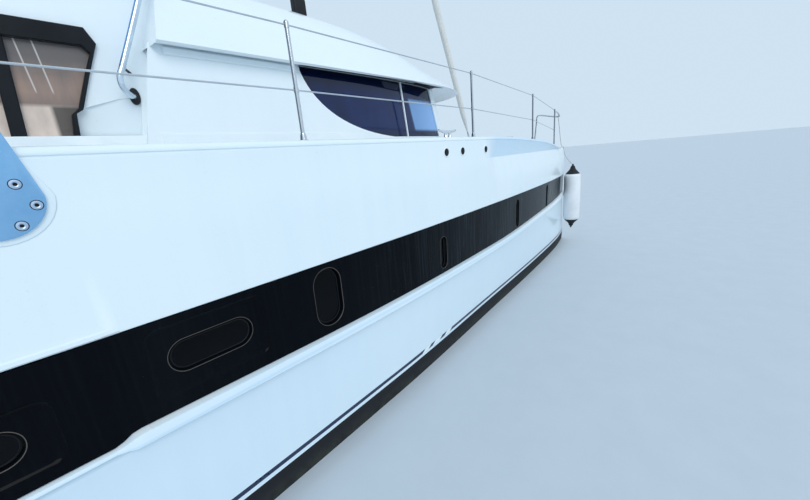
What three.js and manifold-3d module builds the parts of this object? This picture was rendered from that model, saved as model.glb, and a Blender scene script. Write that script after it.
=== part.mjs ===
// Cruising sailing catamaran with a rigid foredeck, a wide saloon and a flybridge.
// Millimetres. +X forward, +Y to port, +Z up. Origin amidships on the waterline, on the centreline.
import * as THREE from 'three';
import { mergeVertices } from 'three/addons/utils/BufferGeometryUtils.js';
import Module from 'manifold-3d';

const wasm = await Module();
wasm.setup();

// Driving dimensions
const FIT_GAP = 0.3;
const STEM_X = 7150;
const STERN_X = -7150;
const DECK_Z = 2200;
const SALOON_FLOOR_Z = 1350;
const BRIDGEDECK_UNDERSIDE_Z = 850;
const EYEBROW_Z = 2800;
const ROOF_Z = 3300;
const BAND_TOP_Z = 1430;
const BAND_THICKNESS = 14;
const BAND_RECESS = 20;
const STRAKE_HEIGHT = 62;
const STRAKE_OUT = 34;
const WALL = 60;
const GLASS_THICKNESS = 20;
const GLASS_INSET = 14;
const BRIDGEDECK_AFT_X = -6250;
const FOREDECK_FRONT_X = 6350;
const FORE_BLOCK_X = 3200;
const SALOON_AFT_X = -4600;
const SIDE_STEP_X = -200;
const MAST_X = 1200;
const MAST_TOP_Z = 20300;
const BOOM_Z = 5800;
const CHAINPLATE_X = -900;
const SPRIT_TIP_X = 8900;
const STANCHION_HEIGHT = 650;
const RUDDER_X = -6350;
const RUDDER_TOP_Z = -245;
const DRIVE_X = -4700;
const HULL_CENTRE_Y = 3150;

const SIDES = [
  { name: 'starboard', sign: -1 },
  { name: 'port', sign: 1 },
];

// Materials
function paint(color, roughness, metalness = 0) {
  return new THREE.MeshStandardMaterial({ color, roughness, metalness });
}
const GELCOAT = () => paint(0xeef3f6, 0.22);
const NONSKID = () => paint(0xe2e6e8, 0.7);
const BLACK_BAND = () => paint(0x0b0d12, 0.12);
const ANTIFOULING = () => paint(0x17181c, 0.8);
const TINTED_GLASS = () => paint(0x1a2436, 0.08);
const STAINLESS = () => paint(0xc4ccd2, 0.18, 1);
const ALUMINIUM = () => paint(0xd4d8da, 0.35, 0.9);
const SAILCLOTH = () => paint(0xe9e6dc, 0.85);
const CUSHION = () => paint(0xa8a49b, 0.85);
const BRONZE = () => paint(0x9a7a45, 0.35, 1);
const TEAK = () => paint(0x9c7448, 0.65);
const FENDER_WHITE = () => paint(0xf2f4f4, 0.4);
const WIRE = () => paint(0xd0d4d6, 0.3, 1);

// Geometry helpers
function orientOutward(positions, index) {
  let volume = 0;
  const p = (i) => positions.slice(i * 3, i * 3 + 3);
  for (let t = 0; t < index.length; t += 3) {
    const [a, b, c] = [p(index[t]), p(index[t + 1]), p(index[t + 2])];
    volume += a[0] * (b[1] * c[2] - b[2] * c[1])
      - a[1] * (b[0] * c[2] - b[2] * c[0])
      + a[2] * (b[0] * c[1] - b[1] * c[0]);
  }
  if (volume < 0) {
    for (let t = 0; t < index.length; t += 3) {
      [index[t + 1], index[t + 2]] = [index[t + 2], index[t + 1]];
    }
  }
  return index;
}

// A closed solid through rings of equal point count; flat[i] drops a point to 2D for the end caps.
function loft(rings, flatten) {
  const count = rings[0].length;
  const positions = rings.flat().flatMap((v) => [v[0], v[1], v[2]]);
  const index = [];
  for (let r = 0; r + 1 < rings.length; r += 1) {
    for (let i = 0; i < count; i += 1) {
      const j = (i + 1) % count;
      const a = r * count + i;
      const b = r * count + j;
      const c = (r + 1) * count + i;
      const d = (r + 1) * count + j;
      index.push(a, b, d, a, d, c);
    }
  }
  const area = (a, b, c) => (b.x - a.x) * (c.y - a.y) - (c.x - a.x) * (b.y - a.y);
  const capAt = (r, forward) => {
    const ring = rings[r].map((v) => new THREE.Vector2(...flatten(v)));
    const ringSign = Math.sign(THREE.ShapeUtils.area(ring));
    for (const [a, b, c] of THREE.ShapeUtils.triangulateShape(ring, [])) {
      const sameSense = Math.sign(area(ring[a], ring[b], ring[c])) === ringSign;
      const base = r * count;
      if (sameSense === forward) index.push(base + a, base + b, base + c);
      else index.push(base + a, base + c, base + b);
    }
  };
  capAt(0, false);
  capAt(rings.length - 1, true);
  const geometry = new THREE.BufferGeometry();
  geometry.setAttribute('position', new THREE.Float32BufferAttribute(positions, 3));
  geometry.setIndex(orientOutward(positions, index));
  return geometry;
}

function toSolid(geometry) {
  const bare = geometry.clone();
  for (const name of Object.keys(bare.attributes)) {
    if (name !== 'position') bare.deleteAttribute(name);
  }
  const merged = mergeVertices(bare, 1e-2);
  return new wasm.Manifold(new wasm.Mesh({
    numProp: 3,
    vertProperties: new Float32Array(merged.attributes.position.array),
    triVerts: new Uint32Array(merged.index.array),
  }));
}

function toGeometry(solid) {
  const { vertProperties, triVerts, numProp } = solid.getMesh();
  const positions = [];
  for (let i = 0; i < vertProperties.length; i += numProp) {
    positions.push(vertProperties[i], vertProperties[i + 1], vertProperties[i + 2]);
  }
  const geometry = new THREE.BufferGeometry();
  geometry.setAttribute('position', new THREE.Float32BufferAttribute(positions, 3));
  geometry.setIndex(Array.from(triVerts));
  geometry.computeVertexNormals();
  return geometry;
}

// Trims a piece by what it stands on, leaving the fit gap under it.
function seatOn(solid, carrier) {
  return solid.subtract(carrier.translate([0, 0, FIT_GAP]));
}

function union(solids) {
  return solids.reduce((sum, next) => sum.add(next));
}

// A box from its low and high corners.
function box(x0, x1, y0, y1, z0, z1) {
  const geometry = new THREE.BoxGeometry(x1 - x0, y1 - y0, z1 - z0);
  geometry.translate((x0 + x1) / 2, (y0 + y1) / 2, (z0 + z1) / 2);
  return toSolid(geometry);
}

// A straight round bar between two points.
function bar(from, to, radius, sides = 8, endRadius = radius) {
  const a = new THREE.Vector3(...from);
  const b = new THREE.Vector3(...to);
  const geometry = new THREE.CylinderGeometry(endRadius, radius, a.distanceTo(b), sides);
  const turn = new THREE.Quaternion().setFromUnitVectors(
    new THREE.Vector3(0, 1, 0), b.clone().sub(a).normalize());
  geometry.applyQuaternion(turn);
  geometry.translate(...a.clone().add(b).multiplyScalar(0.5).toArray());
  return toSolid(geometry);
}

// A turned solid between two points; profile rows are the share of the length and the radius there.
function turned(from, to, profile, sides = 10) {
  const a = new THREE.Vector3(...from);
  const b = new THREE.Vector3(...to);
  const length = a.distanceTo(b);
  const ends = [[profile[0][0], 0], ...profile, [profile[profile.length - 1][0], 0]];
  const geometry = new THREE.LatheGeometry(ends.map(([t, r]) => new THREE.Vector2(r, t * length)), sides);
  geometry.applyQuaternion(new THREE.Quaternion().setFromUnitVectors(
    new THREE.Vector3(0, 1, 0), b.clone().sub(a).normalize()));
  geometry.translate(...a.toArray());
  return toSolid(geometry);
}

// A round tube along a smooth open curve through the points.
function bentTube(points, radius, steps, sides = 8, tension = 0.5) {
  const curve = new THREE.CatmullRomCurve3(points.map((p) => new THREE.Vector3(...p)), false, 'catmullrom', tension);
  const section = new THREE.Shape();
  section.absarc(0, 0, radius, 0, Math.PI * 2, false);
  return toSolid(new THREE.ExtrudeGeometry(section, {
    steps, extrudePath: curve, curveSegments: sides / 2, bevelEnabled: false,
  }));
}

// A flat outline in the X-Z plane, given as a Shape, made thick along Y from y0 to y1.
function plateXZ(shape, y0, y1, curveSegments = 6) {
  const geometry = new THREE.ExtrudeGeometry(shape, { depth: y1 - y0, bevelEnabled: false, curveSegments });
  geometry.rotateX(Math.PI / 2);
  geometry.translate(0, y1, 0);
  return toSolid(geometry);
}

// A flat outline in the X-Y plane, made thick along Z from z0 to z1.
function plateXY(shape, z0, z1, curveSegments = 6) {
  const geometry = new THREE.ExtrudeGeometry(shape, { depth: z1 - z0, bevelEnabled: false, curveSegments });
  geometry.translate(0, 0, z0);
  return toSolid(geometry);
}

function outline(points) {
  return new THREE.Shape(points.map(([u, v]) => new THREE.Vector2(u, v)));
}

function roundedRect(u0, u1, v0, v1, r) {
  const shape = new THREE.Shape();
  shape.moveTo(u0 + r, v0);
  shape.lineTo(u1 - r, v0);
  shape.absarc(u1 - r, v0 + r, r, -Math.PI / 2, 0, false);
  shape.lineTo(u1, v1 - r);
  shape.absarc(u1 - r, v1 - r, r, 0, Math.PI / 2, false);
  shape.lineTo(u0 + r, v1);
  shape.absarc(u0 + r, v1 - r, r, Math.PI / 2, Math.PI, false);
  shape.lineTo(u0, v0 + r);
  shape.absarc(u0 + r, v0 + r, r, Math.PI, Math.PI * 1.5, false);
  return shape;
}

// The main body of a trimmed solid, without the cut-off ends inside its carriers.
function largestBody(solid) {
  return solid.decompose().reduce((best, next) => (next.volume() > best.volume() ? next : best));
}

// Mirrors a starboard solid to the wanted side.
function onSide(solid, sign) {
  return sign < 0 ? solid : solid.mirror([0, 1, 0]);
}

// Smooth reading of one column of a table whose rows are sorted by x.
function columnAt(table, column, x) {
  const last = table.length - 1;
  if (x <= table[0].x) return table[0][column];
  if (x >= table[last].x) return table[last][column];
  let i = 0;
  while (x > table[i + 1].x) i += 1;
  // Harmonic mean of the neighbouring slopes, so a flat stretch stays flat.
  const chord = (k) => (table[k + 1][column] - table[k][column]) / (table[k + 1].x - table[k].x);
  const slope = (k) => {
    if (k === 0) return chord(0);
    if (k === last) return chord(last - 1);
    const [back, ahead] = [chord(k - 1), chord(k)];
    return back * ahead <= 0 ? 0 : (2 * back * ahead) / (back + ahead);
  };
  const span = table[i + 1].x - table[i].x;
  const t = (x - table[i].x) / span;
  const [p0, p1] = [table[i][column], table[i + 1][column]];
  const [m0, m1] = [slope(i) * span, slope(i + 1) * span];
  return (2 * t ** 3 - 3 * t ** 2 + 1) * p0 + (t ** 3 - 2 * t ** 2 + t) * m0
    + (-2 * t ** 3 + 3 * t ** 2) * p1 + (t ** 3 - t ** 2) * m1;
}

// Hull lines. Breadths are measured from the boat's centreline, outboard positive.
// gunwale: outer deck edge, inner: inner wall above the bridgedeck, wlOut and wlIn: waterline breadths,
// keel: lowest point, sheer: deck height, strake: height of the ledge under the dark band.
const HULL_LINES = [
  { x: -7150, gunwale: 3740, inner: 2080, wlOut: 3640, wlIn: 2600, keel: -60, sheer: 2200, strake: 950 },
  { x: -5200, gunwale: 3870, inner: 1980, wlOut: 3800, wlIn: 2480, keel: -400, sheer: 2200, strake: 950 },
  { x: -3000, gunwale: 3935, inner: 1920, wlOut: 3875, wlIn: 2400, keel: -600, sheer: 2200, strake: 950 },
  { x: -1200, gunwale: 3950, inner: 1900, wlOut: 3890, wlIn: 2380, keel: -650, sheer: 2200, strake: 950 },
  { x: 1000, gunwale: 3910, inner: 1920, wlOut: 3830, wlIn: 2420, keel: -650, sheer: 2200, strake: 918 },
  { x: 3000, gunwale: 3790, inner: 2060, wlOut: 3690, wlIn: 2590, keel: -610, sheer: 2200, strake: 922 },
  { x: 5000, gunwale: 3600, inner: 2440, wlOut: 3530, wlIn: 2860, keel: -520, sheer: 2140, strake: 985 },
  { x: 6400, gunwale: 3410, inner: 2960, wlOut: 3380, wlIn: 3080, keel: -430, sheer: 2010, strake: 1040 },
  { x: 7150, gunwale: 3255, inner: 3185, wlOut: 3246, wlIn: 3194, keel: -320, sheer: 1925, strake: 1070 },
];
const HULL_STATIONS = [
  -7150, -6300, -5400, -4400, -3200, -2000, -800, 400, 1600, 2700, 3700, 4600, 5400, 6100, 6650, 7000, 7150,
];
const lineAt = (column, x) => columnAt(HULL_LINES, column, x);

// The same reading on the faceted hull, straight between stations.
function facetAt(column, x) {
  const i = Math.max(1, HULL_STATIONS.findIndex((station) => station >= x));
  const [x0, x1] = [HULL_STATIONS[i - 1], HULL_STATIONS[i]];
  const [v0, v1] = [lineAt(column, x0), lineAt(column, x1)];
  return v0 + ((v1 - v0) * (x - x0)) / (x1 - x0);
}

// One hull section on the starboard side as [x, y, z] points, from the inner deck edge round the outside.
function hullSection(x) {
  const gunwale = lineAt('gunwale', x);
  const inner = lineAt('inner', x);
  const wlOut = lineAt('wlOut', x);
  const wlIn = lineAt('wlIn', x);
  const keel = lineAt('keel', x);
  const sheer = lineAt('sheer', x);
  const strake = lineAt('strake', x);
  const middle = (wlOut + wlIn) / 2;
  const half = (wlOut - wlIn) / 2;
  const rim = Math.min(70, (gunwale - inner) / 3);
  const strakeOut = Math.min(STRAKE_OUT, (gunwale - inner) / 3);
  const points = [
    [inner, sheer],
    [gunwale - rim, sheer],
    [gunwale - rim * 0.3, sheer - 22],
    [gunwale, sheer - 75],
    [gunwale + 6, BAND_TOP_Z],
    [gunwale + 6 - BAND_RECESS, BAND_TOP_Z - 6],
    [gunwale - 4 - BAND_RECESS, strake + 6],
    [gunwale + strakeOut, strake],
    [gunwale + strakeOut, strake - STRAKE_HEIGHT],
    [gunwale - 12, strake - STRAKE_HEIGHT - 18],
    [wlOut + 12, 170],
    [wlOut, 0],
  ];
  // Underwater body, a rounded arc from the outer to the inner waterline.
  const arcSteps = 8;
  for (let i = 1; i < arcSteps; i += 1) {
    const a = (Math.PI * i) / arcSteps;
    const width = Math.sign(Math.cos(a)) * Math.abs(Math.cos(a)) ** 0.85;
    points.push([middle + half * width, keel * Math.sin(a) ** 0.8]);
  }
  points.push([wlIn, 0], [wlIn - (wlIn - inner) * 0.25, 330], [inner, BRIDGEDECK_UNDERSIDE_Z - 60]);
  return points.map(([breadth, z]) => [x, -breadth, z]);
}

function buildHull() {
  const lines = toSolid(loft(HULL_STATIONS.map(hullSection), (v) => [v[1], v[2]]));
  const bearing = bar([RUDDER_X, -HULL_CENTRE_Y, -120], [RUDDER_X, -HULL_CENTRE_Y, RUDDER_TOP_Z], 62, 14);
  const body = lines.add(bearing);
  // Stern steps down to the swim level, cut from the aft deck.
  const steps = [
    { from: STERN_X - 100, to: -6750, z: 520 },
    { from: STERN_X - 100, to: -6480, z: 820 },
    { from: STERN_X - 100, to: -6210, z: 1120 },
    { from: STERN_X - 100, to: -5940, z: 1420 },
    { from: STERN_X - 100, to: -5670, z: 1720 },
  ];
  const cuts = steps.map((s) => box(s.from, s.to, -4200, -1700, s.z, DECK_Z + 200));
  const sternRake = outline([[STERN_X - 10, -500], [STERN_X + 260, 560], [STERN_X - 10, 560]]);
  return body.subtract(union(cuts)).subtract(plateXZ(sternRake, -4200, -1700));
}

// The dark band that fills the recess in the topside, from the quarter to the stem.
function buildBand() {
  const stations = HULL_STATIONS.filter((x) => x > -6000 && x < 7100);
  const rings = [-5880, ...stations, 7060].map((x) => {
    const gunwale = facetAt('gunwale', x);
    const strake = facetAt('strake', x);
    const backTop = gunwale + 6 - BAND_RECESS + FIT_GAP;
    const backLow = gunwale - 4 - BAND_RECESS + FIT_GAP;
    const top = BAND_TOP_Z - 10;
    const low = strake + 12;
    return [
      [x, -backTop, top], [x, -(backTop + BAND_THICKNESS), top],
      [x, -(backLow + BAND_THICKNESS), low], [x, -backLow, low],
    ];
  });
  return toSolid(loft(rings, (v) => [v[1], v[2]]));
}

// Between the hulls: bridgedeck with the saloon floor, and the rigid foredeck with its sunken cockpit.
function bridgeOutline(x0, x1) {
  const stations = [x0, ...HULL_STATIONS.filter((x) => x > x0 && x < x1), x1];
  const starboard = stations.map((x) => [x, -(facetAt('inner', x) - FIT_GAP)]);
  return [...starboard, ...starboard.slice().reverse().map(([x, y]) => [x, -y])];
}

function buildBridgedeck() {
  const slab = plateXY(outline(bridgeOutline(BRIDGEDECK_AFT_X, FORE_BLOCK_X - FIT_GAP)),
    BRIDGEDECK_UNDERSIDE_Z, SALOON_FLOOR_Z);
  const noseStern = outline([[BRIDGEDECK_AFT_X - 10, 800], [BRIDGEDECK_AFT_X + 350, 800], [BRIDGEDECK_AFT_X - 10, 1050]]);
  return slab.subtract(plateXZ(noseStern, -2500, 2500));
}

const COCKPIT_FLOOR_Z = 1650;
function buildForedeck() {
  const stations = [FORE_BLOCK_X, ...HULL_STATIONS.filter((x) => x > FORE_BLOCK_X && x < FOREDECK_FRONT_X), FOREDECK_FRONT_X];
  const rings = stations.map((x) => {
    const edge = facetAt('inner', x) - FIT_GAP;
    const top = facetAt('sheer', x);
    const reach = (x - FORE_BLOCK_X) / (FOREDECK_FRONT_X - FORE_BLOCK_X);
    const underside = BRIDGEDECK_UNDERSIDE_Z + 620 * reach ** 2;
    return [[x, -edge, top], [x, -edge, underside], [x, edge, underside], [x, edge, top]];
  });
  const block = toSolid(loft(rings, (v) => [v[1], v[2]]));
  const well = plateXY(roundedRect(3750, 4950, -1650, 1650, 160), COCKPIT_FLOOR_Z, 2400);
  const bench = plateXY(roundedRect(4550, 4952, -1652, 1652, 120), COCKPIT_FLOOR_Z, COCKPIT_FLOOR_Z + 330)
    .intersect(box(4550, 4950, -1649, 1649, 1500, 2500));
  const lockers = SIDES.map(({ sign }) => box(5440, 6060, sign * 1150 - 450, sign * 1150 + 450, 1700, 2400));
  const chainLocker = box(5400, 5900, -300, 300, 1750, 2400);
  return block.subtract(well).add(bench).subtract(union(lockers)).subtract(chainLocker);
}

// Saloon house. Half outlines run from aft to the bow centre; columns are x and the half breadth.
const HOUSE_FOOT = [
  { x: SALOON_AFT_X, y: 3230 }, { x: SIDE_STEP_X, y: 3230 }, { x: SIDE_STEP_X, y: 3350 },
  { x: 1100, y: 3350 }, { x: 2050, y: 3330 }, { x: 2980, y: 3200 }, { x: 3260, y: 2900 },
  { x: 3460, y: 2000 }, { x: 3540, y: 1000 },
];
const HOUSE_TOP = [
  { x: SALOON_AFT_X, y: 3170 }, { x: SIDE_STEP_X, y: 3170 }, { x: SIDE_STEP_X, y: 3290 },
  { x: 1100, y: 3290 }, { x: 1950, y: 3270 }, { x: 2800, y: 3150 }, { x: 3050, y: 2850 },
  { x: 3230, y: 1980 }, { x: 3310, y: 1000 },
];
function houseRing(half, z, inset) {
  const front = half.map(({ x, y }) => {
    const shift = x > 2300 ? -inset : (x <= SIDE_STEP_X) * inset;
    return [x + shift, -(y - inset), z];
  });
  return [...front, ...front.slice().reverse().map(([x, y, zz]) => [x, -y, zz])];
}
const HOUSE_FOOT_Z = 2130;
function houseBody(inset, extra = 0) {
  return toSolid(loft([
    houseRing(HOUSE_FOOT, HOUSE_FOOT_Z - extra, inset),
    houseRing(HOUSE_TOP, EYEBROW_Z - FIT_GAP + extra, inset),
  ], (v) => [v[0], v[1]]));
}

// Side window outlines in X-Z, and the front panes by their half breadths.
function forwardSideWindow(shrink) {
  const s = shrink;
  const shape = new THREE.Shape();
  shape.moveTo(850 + s, 2790 - s);
  shape.quadraticCurveTo(960 + s, 2340 + s, 1850, 2260 + s);
  shape.lineTo(2780 - s, 2260 + s);
  shape.lineTo(2680 - s, 2790 - s);
  shape.closePath();
  return shape;
}
function aftSideWindow(shrink) {
  const s = shrink;
  return outline([
    [-4250 + s, 2270 + s], [-550 - s, 2270 + s], [-480 - s, 2450], [-350 - s, 2700], [-365 - s, 2785 - s],
    [-4250 + s, 2785 - s],
  ]);
}
const DOOR_HALF = lineAt('inner', SALOON_AFT_X + WALL) - 5;
const FRONT_PANES = [
  { name: 'centre', from: -680, to: 680 },
  { name: 'starboard', from: -2700, to: -780 },
  { name: 'port', from: 780, to: 2700 },
];
function frontPane({ from, to }, shrink) {
  return box(2700, 3800, from + shrink, to - shrink, 2300 + shrink, 2760 - shrink);
}

function buildHouse(hull, foredeck) {
  const nearHull = hull.translate([0, FIT_GAP, 0]);
  const carriers = [nearHull, nearHull.mirror([0, 1, 0]), foredeck.translate([-FIT_GAP, 0, 0])];
  const shell = carriers.reduce(seatOn, houseBody(0).subtract(houseBody(WALL, 40)));
  const sideCuts = SIDES.flatMap(({ sign }) => [
    onSide(plateXZ(forwardSideWindow(0), -3700, -2950), sign),
    onSide(plateXZ(aftSideWindow(0), -3700, -2950), sign),
  ]);
  const frontCuts = FRONT_PANES.map((pane) => frontPane(pane, 0));
  const doorway = box(SALOON_AFT_X - 100, SALOON_AFT_X + 200, -DOOR_HALF, DOOR_HALF, 2000, EYEBROW_Z - 90);
  return shell.subtract(union([...sideCuts, ...frontCuts, doorway]));
}

function glassShell() {
  return houseBody(GLASS_INSET).subtract(houseBody(GLASS_INSET + GLASS_THICKNESS, 40));
}

// Flybridge roof: rings of half outlines from the eyebrow up to the walking surface.
const ROOF_RINGS = [
  { z: EYEBROW_Z, half: [
    [-4950, 3240], [SIDE_STEP_X, 3240], [SIDE_STEP_X, 3400], [2100, 3390], [3050, 3310], [3530, 3000], [3720, 2000], [3800, 1000],
  ] },
  { z: EYEBROW_Z + 40, half: [
    [-4950, 3245], [SIDE_STEP_X, 3245], [SIDE_STEP_X, 3410], [2100, 3395], [3050, 3315], [3520, 2990], [3700, 2000], [3780, 1000],
  ] },
  { z: 3080, half: [
    [-4950, 3160], [SIDE_STEP_X - 40, 3160], [SIDE_STEP_X - 40, 3240], [1850, 3200], [2650, 3010], [3020, 2700],
    [3190, 1950], [3270, 1000],
  ] },
  { z: ROOF_Z, half: [
    [-4950, 2990], [SIDE_STEP_X - 80, 2990], [SIDE_STEP_X - 80, 3020], [1350, 2970], [2050, 2780], [2400, 2450],
    [2580, 1800], [2660, 1000],
  ] },
];
const CEILING_DEPTH = 70;
function fullRing(half, z) {
  const starboard = half.map(([x, y]) => [x, -y, z]);
  return [...starboard, ...starboard.slice().reverse().map(([x, y, zz]) => [x, -y, zz])];
}
function buildRoof() {
  const skin = toSolid(loft(ROOF_RINGS.map(({ z, half }) => fullRing(half, z)), (v) => [v[0], v[1]]));
  const ceilingHalf = [[-4880, 2960], [1700, 2880], [2200, 2500], [2560, 1500], [2640, 700]];
  const ceiling = toSolid(loft([
    fullRing(ceilingHalf, EYEBROW_Z - 10),
    fullRing(ceilingHalf.map(([x, y]) => [x - 260 * (x > 0), y - 120]), ROOF_Z - CEILING_DEPTH),
  ], (v) => [v[0], v[1]]));
  return skin.subtract(ceiling);
}

// Low coaming round the flybridge seating.
const COAMING_TOP_Z = ROOF_Z + 430;
function buildFlybridgeCoaming() {
  const outer = outline([
    [-4850, -2960], [-500, -2960], [150, -2600], [320, -1800],
    [320, 1800], [150, 2600], [-500, 2960], [-4850, 2960],
  ]);
  const inner = outline([
    [-4750, -2845], [-540, -2845], [70, -2520], [220, -1760],
    [220, 1760], [70, 2520], [-540, 2845], [-4750, 2845],
  ]);
  return plateXY(outer, ROOF_Z - 20, COAMING_TOP_Z).subtract(plateXY(inner, ROOF_Z - 50, ROOF_Z + 500));
}

// Hardtop over the flybridge on four posts.
const HARDTOP_Z = 5300;
function buildHardtop(roof) {
  const top = plateXY(roundedRect(-4500, -500, -2550, 2550, 350), HARDTOP_Z, HARDTOP_Z + 70);
  const posts = [];
  for (const { sign } of SIDES) {
    for (const [x, lean] of [[-4250, 60], [-900, -120]]) {
      posts.push(bar([x, sign * 2900, COAMING_TOP_Z - 30], [x + lean, sign * 2430, HARDTOP_Z + 30], 38, 10));
    }
  }
  return seatOn(union([top, ...posts]), roof);
}

// Rig
const STAY_FOOT = [SPRIT_TIP_X - 60, 0, 2214];
const STAY_HEAD = [MAST_X + 230, 0, 19900];
const SHROUD_HEAD = [MAST_X - 60, -115, 18000];
function buildMast() {
  const section = new THREE.Shape();
  section.absellipse(0, 0, 170, 95, 0, Math.PI * 2, false, 0);
  const tube = new THREE.ExtrudeGeometry(section, { depth: MAST_TOP_Z - ROOF_Z - FIT_GAP, bevelEnabled: false, curveSegments: 10 });
  tube.translate(MAST_X, 0, ROOF_Z + FIT_GAP);
  const foot = plateXY(roundedRect(MAST_X - 260, MAST_X + 260, -180, 180, 60), ROOF_Z + FIT_GAP, ROOF_Z + 40);
  const spreaders = SIDES.map(({ sign }) => bar(
    [MAST_X, sign * 40, 11200], [MAST_X - 350, sign * 1150, 11280], 45, 8, 26));
  const gooseneck = box(MAST_X - 250, MAST_X - 150, -45, 45, BOOM_Z - 90, BOOM_Z - 12);
  const masthead = box(MAST_X - 330, MAST_X + 210, -40, 40, MAST_TOP_Z - 60, MAST_TOP_Z + 40);
  const stayTang = box(MAST_X + 150, STAY_HEAD[0] + 12, -14, 14, STAY_HEAD[2] + 3.9, STAY_HEAD[2] + 60);
  const shroudTangs = SIDES.map(({ sign }) => box(
    SHROUD_HEAD[0] - 25, SHROUD_HEAD[0] + 25, sign * 105 - 25, sign * 105 + 25, SHROUD_HEAD[2] + 2.4, SHROUD_HEAD[2] + 60));
  return union([toSolid(tube), foot, ...spreaders, gooseneck, masthead, stayTang, ...shroudTangs]);
}
const BOOM_PIVOT_X = MAST_X - 210;
const BOOM_END_X = -4900;
function buildBoom() {
  const profile = roundedRect(-80, 80, -10, 230, 60);
  const spar = new THREE.ExtrudeGeometry(profile, { depth: BOOM_PIVOT_X - 60 - BOOM_END_X, bevelEnabled: false, curveSegments: 4 });
  spar.rotateX(Math.PI / 2);
  spar.rotateZ(-Math.PI / 2);
  const spot = new THREE.Box3().setFromBufferAttribute(spar.attributes.position);
  spar.translate(BOOM_END_X - spot.min.x, 0, BOOM_Z);
  const lug = box(BOOM_PIVOT_X - 90, BOOM_PIVOT_X + 20, -22, 22, BOOM_Z - 12 + FIT_GAP, BOOM_Z + 60);
  return toSolid(spar).add(lug);
}
function buildSailBag() {
  // Stowed mainsail in its bag on top of the boom: a tall rounded roll that thins out aft.
  const stations = [
    { x: MAST_X - 340, half: 150, height: 640 }, { x: MAST_X - 700, half: 190, height: 620 },
    { x: -1600, half: 180, height: 470 },
    { x: -3400, half: 150, height: 330 }, { x: -4750, half: 100, height: 210 },
  ];
  const base = BOOM_Z + 230 + FIT_GAP;
  const rings = stations.map(({ x, half, height }) => [
    [x, -70, base], [x, -half, base + height * 0.3], [x, -half * 0.75, base + height * 0.75],
    [x, 0, base + height],
    [x, half * 0.75, base + height * 0.75], [x, half, base + height * 0.3], [x, 70, base],
  ]);
  return toSolid(loft(rings, (v) => [v[1], v[2]]));
}

function buildHeadsail(bowsprit) {
  // Wire, furling drum, and the rolled sail, which is thickest a third of the way up.
  return turned(STAY_FOOT, STAY_HEAD, [
    [0, 9], [0.006, 9], [0.0061, 105], [0.015, 105], [0.0151, 20], [0.02, 22], [0.022, 62],
    [0.3, 80], [0.6, 60], [0.95, 24], [0.951, 8], [1, 8],
  ], 10).subtract(bowsprit.translate([0, 0, FIT_GAP]));
}

// Bowsprit from the foredeck front, with its two side struts and the anchor roller cheeks.
function buildBowsprit() {
  const root = [FOREDECK_FRONT_X - 30, 0, 1880];
  const tip = [SPRIT_TIP_X, 0, 2010];
  const spar = bar(root, tip, 75, 12, 60);
  const plate = box(FOREDECK_FRONT_X + FIT_GAP, FOREDECK_FRONT_X + 30, -220, 220, 1700, 1960);
  const tang = box(SPRIT_TIP_X - 130, SPRIT_TIP_X - 10, -14, 14, 2000, 2215);
  const struts = SIDES.map(({ sign }) => bar([FOREDECK_FRONT_X + 15, sign * 190, 1740], [7700, sign * 20, 1945], 22, 8));
  return union([spar, plate, tang, ...struts]);
}

function buildAnchor() {
  const shank = bar([6760, 0, 1733], [7480, 0, 1710], 24, 8);
  const blade = toSolid(loft([
    [[7460, -14, 1723], [7460, -14, 1693], [7460, 14, 1693], [7460, 14, 1723]],
    [[7400, -190, 1585], [7400, 0, 1500], [7400, 190, 1585], [7400, 0, 1620]],
    [[7120, -220, 1510], [7120, 0, 1430], [7120, 220, 1510], [7120, 0, 1480]],
    [[6980, -20, 1440], [6980, 0, 1420], [6980, 20, 1440], [6980, 0, 1450]],
  ], (v) => [v[1], v[2]]));
  return union([shank, blade]);
}
function buildAnchorRoller() {
  const cheeks = SIDES.map(({ sign }) => box(6700, 7250, sign * 52 - 8, sign * 52 + 8, 1650, 1820));
  const pin = bar([7180, -60, 1675], [7180, 60, 1675], 20, 8);
  const back = box(FOREDECK_FRONT_X + 20, 6720, -60, 60, 1760, 1790);
  return union([...cheeks, pin, back]);
}

// Chainplate: a tapered plate with a round lower end on the topside and an eye above the deck edge.
const CHAINPLATE = { footZ: 2020, footRadius: 137, eyeZ: 2250, eyeRadius: 82 };
function buildChainplate(hull) {
  const { footZ, footRadius, eyeZ, eyeRadius } = CHAINPLATE;
  const x = CHAINPLATE_X;
  const shape = new THREE.Shape();
  shape.moveTo(x - eyeRadius, eyeZ);
  shape.lineTo(x - footRadius, footZ);
  shape.absarc(x, footZ, footRadius, Math.PI, Math.PI * 2, false);
  shape.lineTo(x + eyeRadius, eyeZ);
  shape.absarc(x, eyeZ, eyeRadius, 0, Math.PI, false);
  const side = lineAt('gunwale', x);
  const plate = plateXZ(shape, -(side + 20), -(side - 4), 8);
  const eye = bar([x, -(side + 44), eyeZ], [x, -(side - 18), eyeZ], 34, 12);
  return plate.add(eye).subtract(hull.translate([0, -FIT_GAP, 0]));
}
function buildShroud() {
  const foot = [CHAINPLATE_X, -(lineAt('gunwale', CHAINPLATE_X) + 8), CHAINPLATE.eyeZ + CHAINPLATE.eyeRadius + 5.4];
  return turned(foot, SHROUD_HEAD, [[0, 20], [0.018, 20], [0.0181, 7], [1, 7]], 8);
}

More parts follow.
